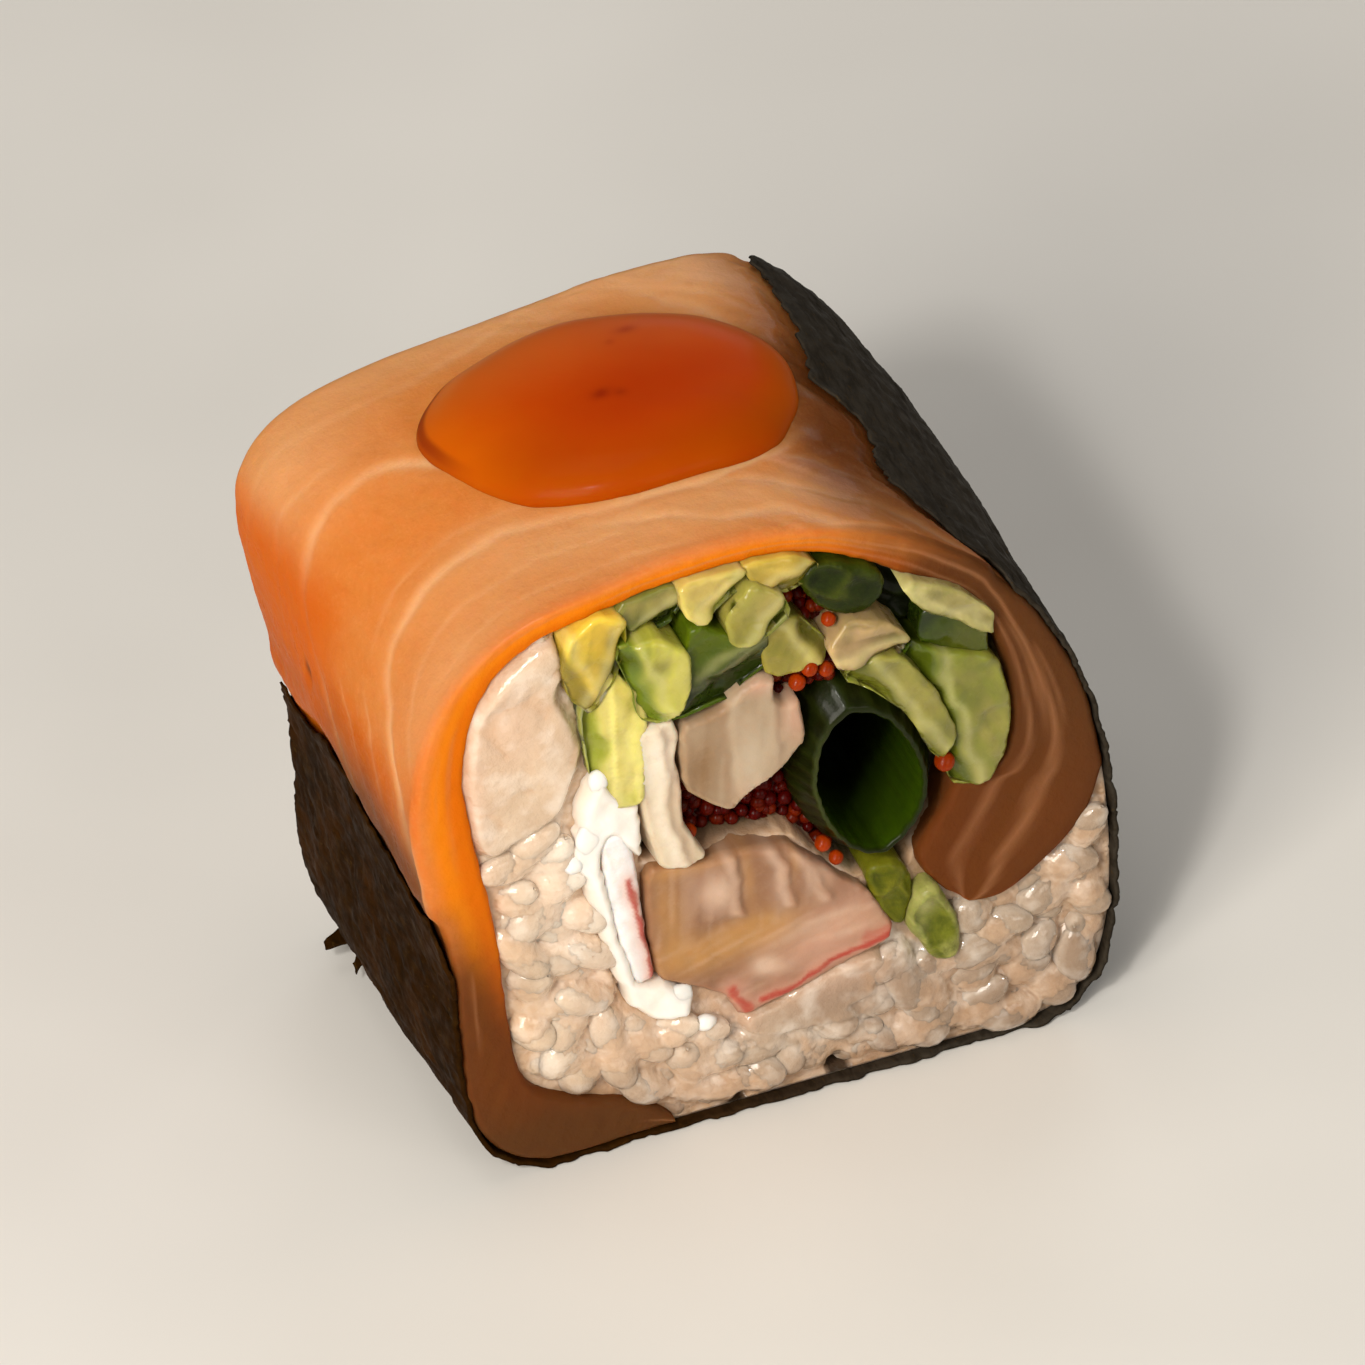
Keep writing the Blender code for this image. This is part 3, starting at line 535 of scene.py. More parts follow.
class Finish:
    """Builds one node material: colours laid over each other by masks and noises."""

    def __init__(self, name, colour):
        self.material = bpy.data.materials.new(name)
        self.material.use_nodes = True
        self.tree = self.material.node_tree
        self.nodes, self.links = self.tree.nodes, self.tree.links
        self.shader = self.nodes["Principled BSDF"]
        self.colour = None
        self.start = (*colour, 1.0)
        coords = self.nodes.new("ShaderNodeTexCoord")
        scale = self.nodes.new("ShaderNodeMapping")
        scale.inputs["Scale"].default_value = (1000, 1000, 1000)
        self.links.new(coords.outputs["Object"], scale.inputs["Vector"])
        self.space = scale.outputs["Vector"]
        self.bump_height = None

    def squeezed(self, stretch, turn=(0, 0, 0)):
        node = self.nodes.new("ShaderNodeMapping")
        node.inputs["Scale"].default_value = stretch
        node.inputs["Rotation"].default_value = turn
        self.links.new(self.space, node.inputs["Vector"])
        return node.outputs["Vector"]

    def noise(self, scale, detail=3.0, rough=0.55, low=0.35, high=0.65, stretch=None,
              turn=(0, 0, 0), distortion=0.0):
        node = self.nodes.new("ShaderNodeTexNoise")
        node.inputs["Scale"].default_value = scale
        node.inputs["Detail"].default_value = detail
        node.inputs["Roughness"].default_value = rough
        node.inputs["Distortion"].default_value = distortion
        self.links.new(
            self.squeezed(stretch, turn) if stretch else self.space, node.inputs["Vector"]
        )
        ramp = self.nodes.new("ShaderNodeMapRange")
        ramp.inputs["From Min"].default_value = low
        ramp.inputs["From Max"].default_value = high
        self.links.new(node.outputs["Fac"], ramp.inputs["Value"])
        return ramp.outputs["Result"]

    def mask(self, name):
        node = self.nodes.new("ShaderNodeAttribute")
        node.attribute_name = name
        return node.outputs["Fac"]

    def times(self, a, b):
        node = self.nodes.new("ShaderNodeMath")
        node.operation = "MULTIPLY"
        for slot, value in zip(node.inputs, (a, b)):
            if isinstance(value, (int, float)):
                slot.default_value = value
            else:
                self.links.new(value, slot)
        return node.outputs[0]

    def over(self, colour, fac, share=1.0):
        """Lays a colour over what is there, as far as fac says."""
        node = self.nodes.new("ShaderNodeMix")
        node.data_type = "RGBA"
        node.clamp_factor = True
        if share != 1.0:
            fac = self.times(fac, share)
        self.links.new(fac, node.inputs["Factor"])
        if self.colour is None:
            node.inputs[6].default_value = self.start
        else:
            self.links.new(self.colour, node.inputs[6])
        node.inputs[7].default_value = (*colour, 1.0)
        self.colour = node.outputs[2]
        return self

    def bump(self, height, strength=0.4, distance=0.0001):
        node = self.nodes.new("ShaderNodeBump")
        node.inputs["Strength"].default_value = strength
        node.inputs["Distance"].default_value = distance
        self.links.new(height, node.inputs["Height"])
        if self.bump_height is not None:
            self.links.new(self.bump_height, node.inputs["Normal"])
        self.bump_height = node.outputs["Normal"]
        return self

    def done(self, rough=0.4, rough_by=None, rough_range=(0.3, 0.5), flesh=0.0,
             radius=(1.0, 0.4, 0.2), depth=0.001, coat=0.0, coat_rough=0.1, ior=1.4,
             specular=0.28, sheen=0.0, through=0.0):
        s = self.shader
        if self.colour is None:
            s.inputs["Base Color"].default_value = self.start
        else:
            self.links.new(self.colour, s.inputs["Base Color"])
        s.inputs["Roughness"].default_value = rough
        if rough_by is not None:
            span = self.nodes.new("ShaderNodeMapRange")
            span.inputs["To Min"].default_value = rough_range[0]
            span.inputs["To Max"].default_value = rough_range[1]
            self.links.new(rough_by, span.inputs["Value"])
            self.links.new(span.outputs["Result"], s.inputs["Roughness"])
        s.inputs["IOR"].default_value = ior
        s.inputs["Specular IOR Level"].default_value = specular
        s.inputs["Subsurface Weight"].default_value = flesh
        s.inputs["Subsurface Radius"].default_value = radius
        s.inputs["Subsurface Scale"].default_value = depth
        s.inputs["Coat Weight"].default_value = coat * 0.5
        s.inputs["Coat Roughness"].default_value = coat_rough
        s.inputs["Sheen Weight"].default_value = sheen
        s.inputs["Transmission Weight"].default_value = through
        if self.bump_height is not None:
            self.links.new(self.bump_height, s.inputs["Normal"])
        return self.material


def finish_piece(obj, material, slot, *nodes):
    obj.data.materials.clear()
    obj.data.materials.append(material)
    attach(obj, "root")
    if nodes:
        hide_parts(*nodes)
    return obj


# --------------------------------------------------------- camera, light, floor
AZIMUTH, ELEVATION, ROLL = math.radians(20.9), math.radians(39.2), math.radians(4.4)
U0 = Vector((math.cos(AZIMUTH), -math.sin(AZIMUTH), 0))
V0 = Vector((math.sin(AZIMUTH) * math.sin(ELEVATION),
             math.cos(AZIMUTH) * math.sin(ELEVATION), math.cos(ELEVATION)))
RIGHT = math.cos(ROLL) * U0 - math.sin(ROLL) * V0
UP = math.sin(ROLL) * U0 + math.cos(ROLL) * V0
BACKWARD = RIGHT.cross(UP)
low, high = (Vector(c) for c in cad_box)
middle = (low + high) / 2
middle.z -= 0.0004
DISTANCE, FRAME_WIDTH = 1.3, 0.076

camera_data = bpy.data.cameras.new("camera")
camera_data.sensor_width = 36.0
camera_data.lens = 36.0 * DISTANCE / FRAME_WIDTH
camera_data.clip_start = 0.05
camera_data.clip_end = 20.0
camera = bpy.data.objects.new("camera", camera_data)
bpy.context.scene.collection.objects.link(camera)
spot = middle + BACKWARD * DISTANCE
camera.matrix_world = Matrix((
    (RIGHT.x, UP.x, BACKWARD.x, spot.x),
    (RIGHT.y, UP.y, BACKWARD.y, spot.y),
    (RIGHT.z, UP.z, BACKWARD.z, spot.z),
    (0, 0, 0, 1),
))
bpy.context.scene.camera = camera


def area_light(name, towards, distance, size, power, colour):
    data = bpy.data.lights.new(name, "AREA")
    data.shape = "RECTANGLE"
    data.size, data.size_y = size
    data.energy = power
    data.color = colour
    obj = bpy.data.objects.new(name, data)
    direction = Vector(towards).normalized()
    obj.location = middle + direction * distance
    obj.rotation_euler = direction.to_track_quat("Z", "Y").to_euler()
    obj.visible_camera = False
    bpy.context.scene.collection.objects.link(obj)
    return obj


area_light("window_left", (-0.66, -0.60, 0.52), 0.55, (0.24, 0.26), 2.2, (1.0, 0.94, 0.85))
area_light("soft_front", (0.25, -0.90, 0.40), 0.70, (0.40, 0.30), 0.9, (1.0, 0.94, 0.86))
area_light("soft_top", (-0.10, 0.10, 1.0), 0.60, (0.30, 0.30), 0.55, (1.0, 0.95, 0.89))
area_light("cool_back", (0.55, 0.80, 0.36), 0.60, (0.30, 0.14), 0.5, (0.90, 0.95, 1.0))
area_light("glint", (-0.50, -0.62, 0.78), 0.60, (0.05, 0.05), 1.1, (1.0, 0.97, 0.93))

world = bpy.data.worlds.new("room")
bpy.context.scene.world = world
world.use_nodes = True
background = world.node_tree.nodes["Background"]
background.inputs["Color"].default_value = (1.0, 0.97, 0.93, 1.0)
background.inputs["Strength"].default_value = 0.15
bpy.context.scene.view_settings.view_transform = "Standard"

floor_mesh = bpy.data.meshes.new("floor")
half = 1.6
floor_mesh.from_pydata(
    [(-half, -half, 0), (half, -half, 0), (half, half, 0), (-half, half, 0)], [],
    [(0, 1, 2, 3)],
)
floor = bpy.data.objects.new("floor", floor_mesh)
floor.location.z = -0.00012
bpy.context.scene.collection.objects.link(floor)
paint = Finish("floor_pale", (0.80, 0.775, 0.73))
paint.over((0.76, 0.735, 0.69), paint.noise(0.03, 2.0))
floor_mesh.materials.append(paint.done(rough=0.7, specular=0.25))


# --------------------------------------------------------------------- salmon
COLUMNS = 430
ROWS = 116
ring_start = ring.nearest(-7.0, 0.0)
ring_leave = ring.nearest(20.1, 17.2) - ring.length
inner_line = evenly(catmull(SALMON_INSIDE, False, 24), COLUMNS)

# Fat lines in the flesh, as (distance up from the nori's left edge, t along the roll).
FAT_LINES = [
    # line, half width, strength
    ([(2.0, -0.30), (5.0, -0.13), (8.2, 0.02), (10.2, 0.17), (12.0, 0.25), (15.5, 0.29),
      (18.7, 0.31), (21.5, 0.28), (24.0, 0.12), (28.0, -0.02)], 0.34, 0.95),
    ([(0.5, -0.97), (4.5, -0.93), (8.2, -0.87), (12.0, -0.66), (14.2, -0.52), (17.5, -0.44),
      (21.7, -0.41), (26.7, -0.47), (31.2, -0.55), (36.2, -0.56), (39.5, -0.48),
      (43.0, -0.30)], 0.36, 1.0),
    ([(28.5, -0.60), (31.5, -0.69), (36.0, -0.84), (39.0, -0.86), (42.2, -0.97),
      (46.0, -0.99)], 0.40, 0.85),
    ([(33.0, -0.55), (38.0, -0.63), (43.0, -0.76), (47.5, -0.86), (51.0, -0.97)], 0.30, 0.6),
    ([(36.5, 0.98), (38.6, 0.72), (40.8, 0.42), (42.8, 0.10), (44.5, -0.2)], 0.34, 0.55),
    ([(31.0, 0.99), (36.0, 0.90), (40.0, 0.70), (43.0, 0.48)], 0.26, 0.35),
    ([(5.5, 0.98), (9.5, 0.90), (14.0, 0.80), (19.0, 0.74), (24.0, 0.72), (29.0, 0.84),
      (33.0, 0.97)], 0.30, 0.30),
    ([(40.0, -0.45), (43.5, -0.55), (47.0, -0.70)], 0.26, 0.5),
    # Faint threads between the lines.
    ([(11.0, -0.93), (15.0, -0.74), (20.0, -0.66), (26.0, -0.68), (31.0, -0.76)], 0.20, 0.34),
    ([(14.0, -0.36), (18.0, -0.28), (22.0, -0.27), (26.5, -0.34), (33.0, -0.42)], 0.18, 0.28),
    ([(4.0, 0.42), (8.0, 0.50), (12.0, 0.53), (16.0, 0.52), (20.0, 0.46)], 0.20, 0.36),
    ([(3.5, 0.14), (6.5, 0.26), (9.5, 0.36), (13.0, 0.40)], 0.16, 0.26),
    ([(3.0, -0.70), (6.0, -0.66), (9.0, -0.52), (11.5, -0.38)], 0.18, 0.36),
    ([(2.5, -0.50), (5.5, -0.40), (8.5, -0.28), (11.0, -0.10)], 0.16, 0.26),
    ([(17.0, -0.88), (22.0, -0.84), (28.0, -0.88), (33.5, -0.95)], 0.18, 0.28),
]


def salmon_outside(t):
    """Outer face of the slice at t, COLUMNS points, and how far along the contour each is."""
    left, right = float(nori_left(t)), float(nori_right(t)) - ring.length
    s = np.linspace(ring_start, ring_leave, 700)
    under = np.maximum(1 - ease(left - 1.6, left - 0.25, s) * 1.0, 0)
    cover = np.maximum(ease(left - 1.5, left - 0.2, s), 1 - ease(right + 0.2, right + 1.5, s))
    bulge = 0.16 * np.exp(-(((s - left + 2.2) / 1.3) ** 2))
    line = ring.at(s, SALMON_TUCK * cover - bulge * (1 - cover))
    tail = catmull(np.concatenate([line[-1:], SALMON_CURL]), False, 24)
    whole = np.concatenate([line, tail[1:]])
    reach = np.concatenate([[0], np.cumsum(np.hypot(*np.diff(whole, axis=0).T))])
    travel = np.concatenate([s, ring_leave - (reach[len(line):] - reach[len(line) - 1])])
    at = np.linspace(0, reach[-1], COLUMNS)
    points = np.stack([np.interp(at, reach, whole[:, c]) for c in (0, 1)], 1)
    return points, TOP_LEFT - np.interp(at, reach, travel)


def salmon():
    length = 2 * HALF_LENGTH
    # One closed trip round the slice's thickness: (y from the front, depth as a*r + b*(T - 2r))
    trip = []
    arc = np.radians(np.array([15, 35, 55, 75]))
    ys = 0.5 - 0.5 * np.cos(np.linspace(0, np.pi, ROWS)) * 0.35 - 0.5 * 0.65 * np.linspace(1, -1, ROWS)
    for y in ys:
        trip.append(("outer", y, 0.0, 0.0, 0.0))
    for a in arc:
        trip.append(("back", 1.0, 1 - math.cos(a), 0.0, -(1 - math.sin(a))))
    for w in np.linspace(0, 1, 12):
        trip.append(("back", 1.0, 1.0, w, 0.0))
    for a in arc[::-1]:
        trip.append(("back", 1.0, 1 + math.cos(a), 1.0, -(1 - math.sin(a))))
    for y in np.linspace(1, 0, 12):
        trip.append(("inner", y, 2.0, 1.0, 0.0))
    for a in arc:
        trip.append(("front", 0.0, 1 + math.cos(a), 1.0, 1 - math.sin(a)))
    for w in np.linspace(1, 0, 14):
        trip.append(("front", 0.0, 1.0, w, 0.0))
    for a in arc[::-1]:
        trip.append(("front", 0.0, 1 - math.cos(a), 0.0, 1 - math.sin(a)))
    q_count = len(trip)
    points = np.zeros((COLUMNS, q_count, 3))
    u_all = np.zeros((COLUMNS, q_count))
    t_all = np.zeros((COLUMNS, q_count))
    w_all = np.zeros((COLUMNS, q_count))
    side = np.zeros((COLUMNS, q_count))
    end_radius = 0.62
    cache = {}
    for q, (kind, y, a, b, push) in enumerate(trip):
        y0 = end_radius + y * (length - 2 * end_radius)
        y0 += push * end_radius if kind == "front" else 0
        if kind == "front":
            y0 = push * end_radius
        elif kind == "back":
            y0 = length + push * end_radius
        t = -1 + 2 * y0 / length
        key = round(t, 4)
        if key not in cache:
            cache[key] = salmon_outside(t)
        outer, u = cache[key]
        across = inner_line - outer
        thick = np.hypot(*across.T)
        r = np.minimum(end_radius * 0.8, 0.42 * thick)
        depth = a * r + b * (thick - 2 * r)
        if kind == "inner":
            depth = thick
        share = np.clip(depth / thick, 0, 1)
        spot = outer + across * share[:, None]
        points[:, q] = place(spot[:, 0], t, spot[:, 1])
        u_all[:, q], t_all[:, q], w_all[:, q] = u, t, share
        side[:, q] = {"outer": 0, "back": 2, "inner": 3, "front": 1}[kind]
    flat = points.reshape(-1, 3)
    index = np.arange(COLUMNS * q_count).reshape(COLUMNS, q_count)
    nxt = np.roll(index, -1, axis=1)
    quads = np.stack([index[:-1], index[1:], nxt[1:], nxt[:-1]], -1).reshape(-1, 4)
    # The two thin ends, closed to a middle point.
    extra = np.stack([points[0].mean(0), points[-1].mean(0)])
    flat = np.concatenate([flat, extra])
    n = COLUMNS * q_count
    cap0 = np.stack([index[0], nxt[0], np.full(q_count, n)], -1)
    cap1 = np.stack([nxt[-1], index[-1], np.full(q_count, n + 1)], -1)
    polygons = face_out(flat, [quads, cap0, cap1])
    u = np.concatenate([u_all.ravel(), [u_all[0, 0], u_all[-1, 0]]])
    t = np.concatenate([t_all.ravel(), [0, 0]])
    w = np.concatenate([w_all.ravel(), [0.5, 0.5]])
    side = np.concatenate([side.ravel(), [3, 3]])
    v = t * HALF_LENGTH
    normal = vertex_normals(flat, polygons)

    outer = (side == 0) | ((side != 3) & (w < 0.12))
    skin = np.where(side == 0, 1.0, np.where(side == 3, 0.0, 1 - ease(0.02, 0.16, w)))
    fat = np.zeros(len(u))
    halo = np.zeros(len(u))
    wob_u = u + 0.35 * fbm(u * 0.35, v * 0.35, 0, 31)
    wob_v = v + 0.30 * fbm(u * 0.4, v * 0.4, 0, 41)
    for line, half_width, strength in FAT_LINES:
        line = catmull([(a, b * HALF_LENGTH) for a, b in line], False, 8)
        d, along = line_distance(wob_u, wob_v, line)
        ends = ease(0.0, 0.10, along) * (1 - ease(0.88, 1.0, along))
        width = half_width * (1 + 0.35 * noise(along * 14, 0, 0, 7))
        fade = strength * (0.3 + 0.7 * ends) * (0.85 + 0.3 * noise(along * 9, 3, 0, 9))
        fat = np.maximum(fat, fade * np.exp(-((d / width) ** 2)))
        halo = np.maximum(halo, fade * np.exp(-((d / (3.6 * width)) ** 2)))
    # Fine pale striations at the top right and behind the sauce.
    along, across = turned(u, v, -32)
    streak = ease(0.05, 0.75, fbm(along * 0.16, across * 1.7, 0, 51, 2))
    right_top = ease(33, 42, u) * (1 - 0.5 * ease(-2.0, 3.0, v))
    behind = ease(7.0, 10.5, v) * ease(14, 26, u)
    streaks = streak * np.clip(0.75 * right_top + 0.6 * behind + 0.10, 0, 1)
    # Broad colour fields of the outer face.
    deep = blobs(u, v, [(7.0, 9.0, 6.5, 3.6, 0.9), (12.5, 6.2, 3.4, 2.2, 0.35),
                        (11.5, -9.5, 4.5, 2.4, 0.35), (5.0, 3.0, 4.0, 2.5, 0.35),
                        (7.8, -3.0, 2.6, 9.0, 0.65), (13.0, 0.5, 2.6, 2.4, 0.4)])
    deep = deep + 0.6 * ease(12.0, 7.0, u)
    deep = deep + 0.45 * ease(11.2, 12.4, -v) * ease(6, 12, u) * (1 - ease(33, 40, u))
    peach = blobs(u, v, [(17.5, 8.0, 5.0, 3.8, 0.75), (30.0, 11.5, 12.0, 2.4, 0.9),
                         (41.0, 9.0, 4.0, 5.0, 0.8), (34.0, -8.6, 8.0, 1.8, 0.75),
                         (22.0, -6.2, 6.0, 2.2, 0.35), (43.0, -9.0, 5.0, 2.5, 0.6),
                         (24.5, -5.0, 3.0, 2.0, 0.3), (18.0, -10.6, 7.0, 2.6, 0.6),
                         (32.0, -11.0, 7.0, 1.8, 0.45), (27.5, -7.6, 5.0, 1.4, 0.4)])
    tan = blobs(u, v, [(46.0, -5.0, 3.2, 3.4, 0.85), (49.5, -9.5, 4.5, 3.0, 0.95),
                       (44.2, -1.5, 2.4, 4.5, 1.0), (44.5, 4.5, 2.6, 4.0, 0.5),
                       (42.5, -6.5, 3.2, 2.4, 0.55), (40.8, 2.0, 2.0, 3.0, 0.35)])
    tan = tan + 0.30 * ease(11.2, 12.5, -v) * ease(13, 24, u)
    tan = np.clip(tan + ease(50, 56, u), 0, 1)
    # Towards the nori the flesh goes dark: umber at the right, brown at the left.
    umber = ease(39.6, 44.2, u + 0.5 * fbm(u * 0.3, v * 0.5, 0, 141)) * np.interp(
        t, [-1.0, -0.85, -0.6, -0.4, 0.12, 0.36, 0.6, 0.8, 1.0],
        [0.34, 0.62, 0.86, 1.0, 1.0, 0.72, 0.56, 0.42, 0.34])
    left_edge_brown = ease(10.4, 2.8, u + 0.7 * fbm(u * 0.35, v * 0.35, 0, 142)) * np.interp(
        t, [-1.0, -0.7, -0.5, -0.1, 0.1, 0.3, 1.0], [0.9, 0.95, 1.0, 0.95, 0.6, 0.3, 0.2])
    # Cut faces: bright next to the rice, brown where the nori backs the flesh; on the cut faces that brown is partly
    # painted shade.
    cap = ((side == 1) | (side == 2)) & (w >= 0.02)
    z = flat[:, 2]
    x = flat[:, 0]
    ragged = 0.9 * fbm(x * 0.5, z * 0.5, t, 61)
    low_left = 1 - ease(11.5, 22.0, z + ragged + 4.0 * (w - 0.5))
    low_right = (1 - ease(34.0, 39.5, z + ragged)) * ease(2.5, 8.0, x)
    low_right = np.maximum(low_right, ease(11.5, 15.0, x + 0.5 * ragged))
    brown_cap = np.where(x < 0, low_left, low_right)
    brown = np.where(side == 0, np.maximum(ease(0.5, -1.4, u) * 0.7, left_edge_brown), brown_cap)
    brown = np.where(side == 3, brown_cap, brown)
    # dark: painted shade on the cut faces, darker towards the bottom, and right of x 5 darker towards the right above z
    # 12.
    dark = np.where(cap, (1 - ease(2.2, 6.5, z + 0.6 * ragged)) * 0.9, 0.0)
    dark = np.where(cap & (x > 5), 0.75 * ease(9.0, 15.0, x + ragged) * ease(12.0, 24.0, z + ragged), dark)
    edge = np.where(cap, ease(0.10, 0.45, w), 0.0)
    wavy = 0.10 * fbm(u * 0.12, t * 2, 0, 131)
    sinew = 0.8 * np.exp(-(((w - 0.56 - wavy) / 0.045) ** 2)) * ease(-0.2, 0.5, fbm(u * 0.1, 7, 0, 132))
    sinew = sinew + 0.9 * ease(0, 3, x) * np.exp(-(((w - 0.42 - 1.6 * wavy) / 0.05) ** 2))
    sinew = sinew + 0.7 * ease(0, 3, x) * np.exp(-(((w - 0.74 - wavy) / 0.04) ** 2))
    sinew = sinew + 0.6 * np.exp(-(((w - 0.30 - 1.3 * wavy) / 0.035) ** 2)) * ease(
        0.0, 0.6, fbm(u * 0.13, 17, 0, 133))
    sinew = np.where(cap, sinew, 0.0)
    inner_band = np.where(cap, ease(0.45, 0.75, w), 0.0)
    # Relief: soft muscle blocks, fine grain, shallow seams at the fat lines.
    lift = (0.11 * fbm(u * 0.16, v * 0.16, 0, 71) + 0.035 * fbm(u * 0.7, v * 0.7, 0, 81)
            + 0.010 * fbm(u * 2.6, v * 2.6, 0, 91, 2)) * skin
    lift = lift - 0.07 * fat * skin + 0.05 * (halo - fat) * skin
    lift = lift - 0.16 * np.exp(-(((u - 7.4) / 0.9) ** 2) - (((v - 3.0) / 0.45) ** 2)) * skin
    grain = 0.05 * fbm(x * 1.1, z * 1.1, t, 101) + 0.03 * noise(
        turned(x, z, 70)[0] * 0.5, turned(x, z, 70)[1] * 3.0, 0, 111)
    lift = lift + np.where(cap, grain * ease(0.05, 0.3, w), 0.0)
    flat = flat + normal * lift[:, None]
    # The knife left the front a little wavy.
    wave = 0.16 * fbm(x * 0.12, z * 0.12, 0, 121)
    flat[:, 1] += np.where(side == 1, wave, wave * ease(0.85, 1.0, -t))
    seam = np.exp(-(((u - 7.75) / 0.55) ** 2) - (((v - 3.1) / 0.30) ** 2))
    return mesh_object("salmon", flat, polygons, {
        "fat": np.clip(fat, 0, 1) * skin, "halo": halo * skin, "streaks": streaks * skin,
        "deep": np.clip(deep, 0, 1) * skin, "peach": np.clip(peach, 0, 1) * skin,
        "tan": tan * skin, "umber": umber * skin,
        # painted bounce light: saturated orange on the outer face just above the nori's left edge, towards the back
        "painted_bounce_light": skin * ease(16.5, 12.0, u) * ease(-3.0, 2.5, v), "brown": brown, "dark": dark, "edge": edge,
        "inner_band": inner_band,
        "right_edge": np.where(cap, ease(1.5, 9.0, x) * ease(30.0, 33.0, z), 0.0), "seam": seam * skin, "sinew": np.clip(sinew, 0, 1),
    })


look = Finish("salmon_flesh", srgb(208, 126, 58))
look.over(srgb(200, 106, 32), look.noise(0.30, 3.0, 0.55, 0.40, 0.70, distortion=0.6), 0.5)
look.over(srgb(216, 122, 56), look.noise(0.9, 4.0, 0.65, 0.44, 0.62, stretch=(1.0, 0.5, 1.0)), 0.35)
look.over(srgb(184, 92, 26), look.noise(1.7, 3.0, 0.6, 0.52, 0.70), 0.22)
look.over(srgb(200, 92, 0), look.mask("deep"))
look.over(srgb(216, 158, 106), look.mask("peach"), 0.9)
look.over(srgb(150, 88, 46), look.mask("tan"), 0.88)
look.over(srgb(214, 146, 88), look.mask("halo"), 0.35)
look.over(srgb(228, 164, 116), look.mask("streaks"), 0.42)
look.over(srgb(232, 178, 128), look.mask("fat"), 0.72)
look.over(srgb(232, 156, 96), look.noise(3.4, 2.0, 0.6, 0.50, 0.76), 0.18)
look.over(srgb(178, 84, 16), look.noise(0.8, 4.0, 0.7, 0.54, 0.72), 0.12)
# Painted bounce light: saturated orange low on the left of the outer face.
look.over(srgb(204, 90, 0), look.mask("painted_bounce_light"), 0.90)
look.over(srgb(88, 44, 14), look.mask("umber"), 0.86)
look.over(srgb(222, 122, 8), look.mask("edge"), 0.95)
look.over(srgb(150, 92, 44), look.mask("right_edge"), 0.75)
look.over(srgb(206, 96, 2), look.mask("inner_band"), 0.75)
# Brown: the flesh over the nori, on the cut faces partly painted shade.
look.over(srgb(88, 48, 22), look.mask("brown"), 0.95)
# Painted shade on the cut faces.
look.over(srgb(84, 52, 26), look.mask("dark"), 0.9)
look.over(srgb(176, 122, 82), look.mask("sinew"), 0.46)
look.over(srgb(96, 44, 12), look.mask("seam"), 0.9)
look.bump(look.noise(1.3, 3.0, 0.6, 0.2, 0.8), 0.30, 0.00014)
look.bump(look.noise(4.6, 3.0, 0.6, 0.2, 0.8), 0.26, 0.00007)
salmon_material = look.done(
    rough=0.33, rough_by=look.noise(0.8, 2.0), rough_range=(0.27, 0.42), flesh=0.48,
    radius=(1.0, 0.36, 0.12), depth=0.0016, coat=0.18, coat_rough=0.16, specular=0.10,
    ior=1.06,
)
finish_piece(salmon(), salmon_material, "salmon", "salmon_slice")


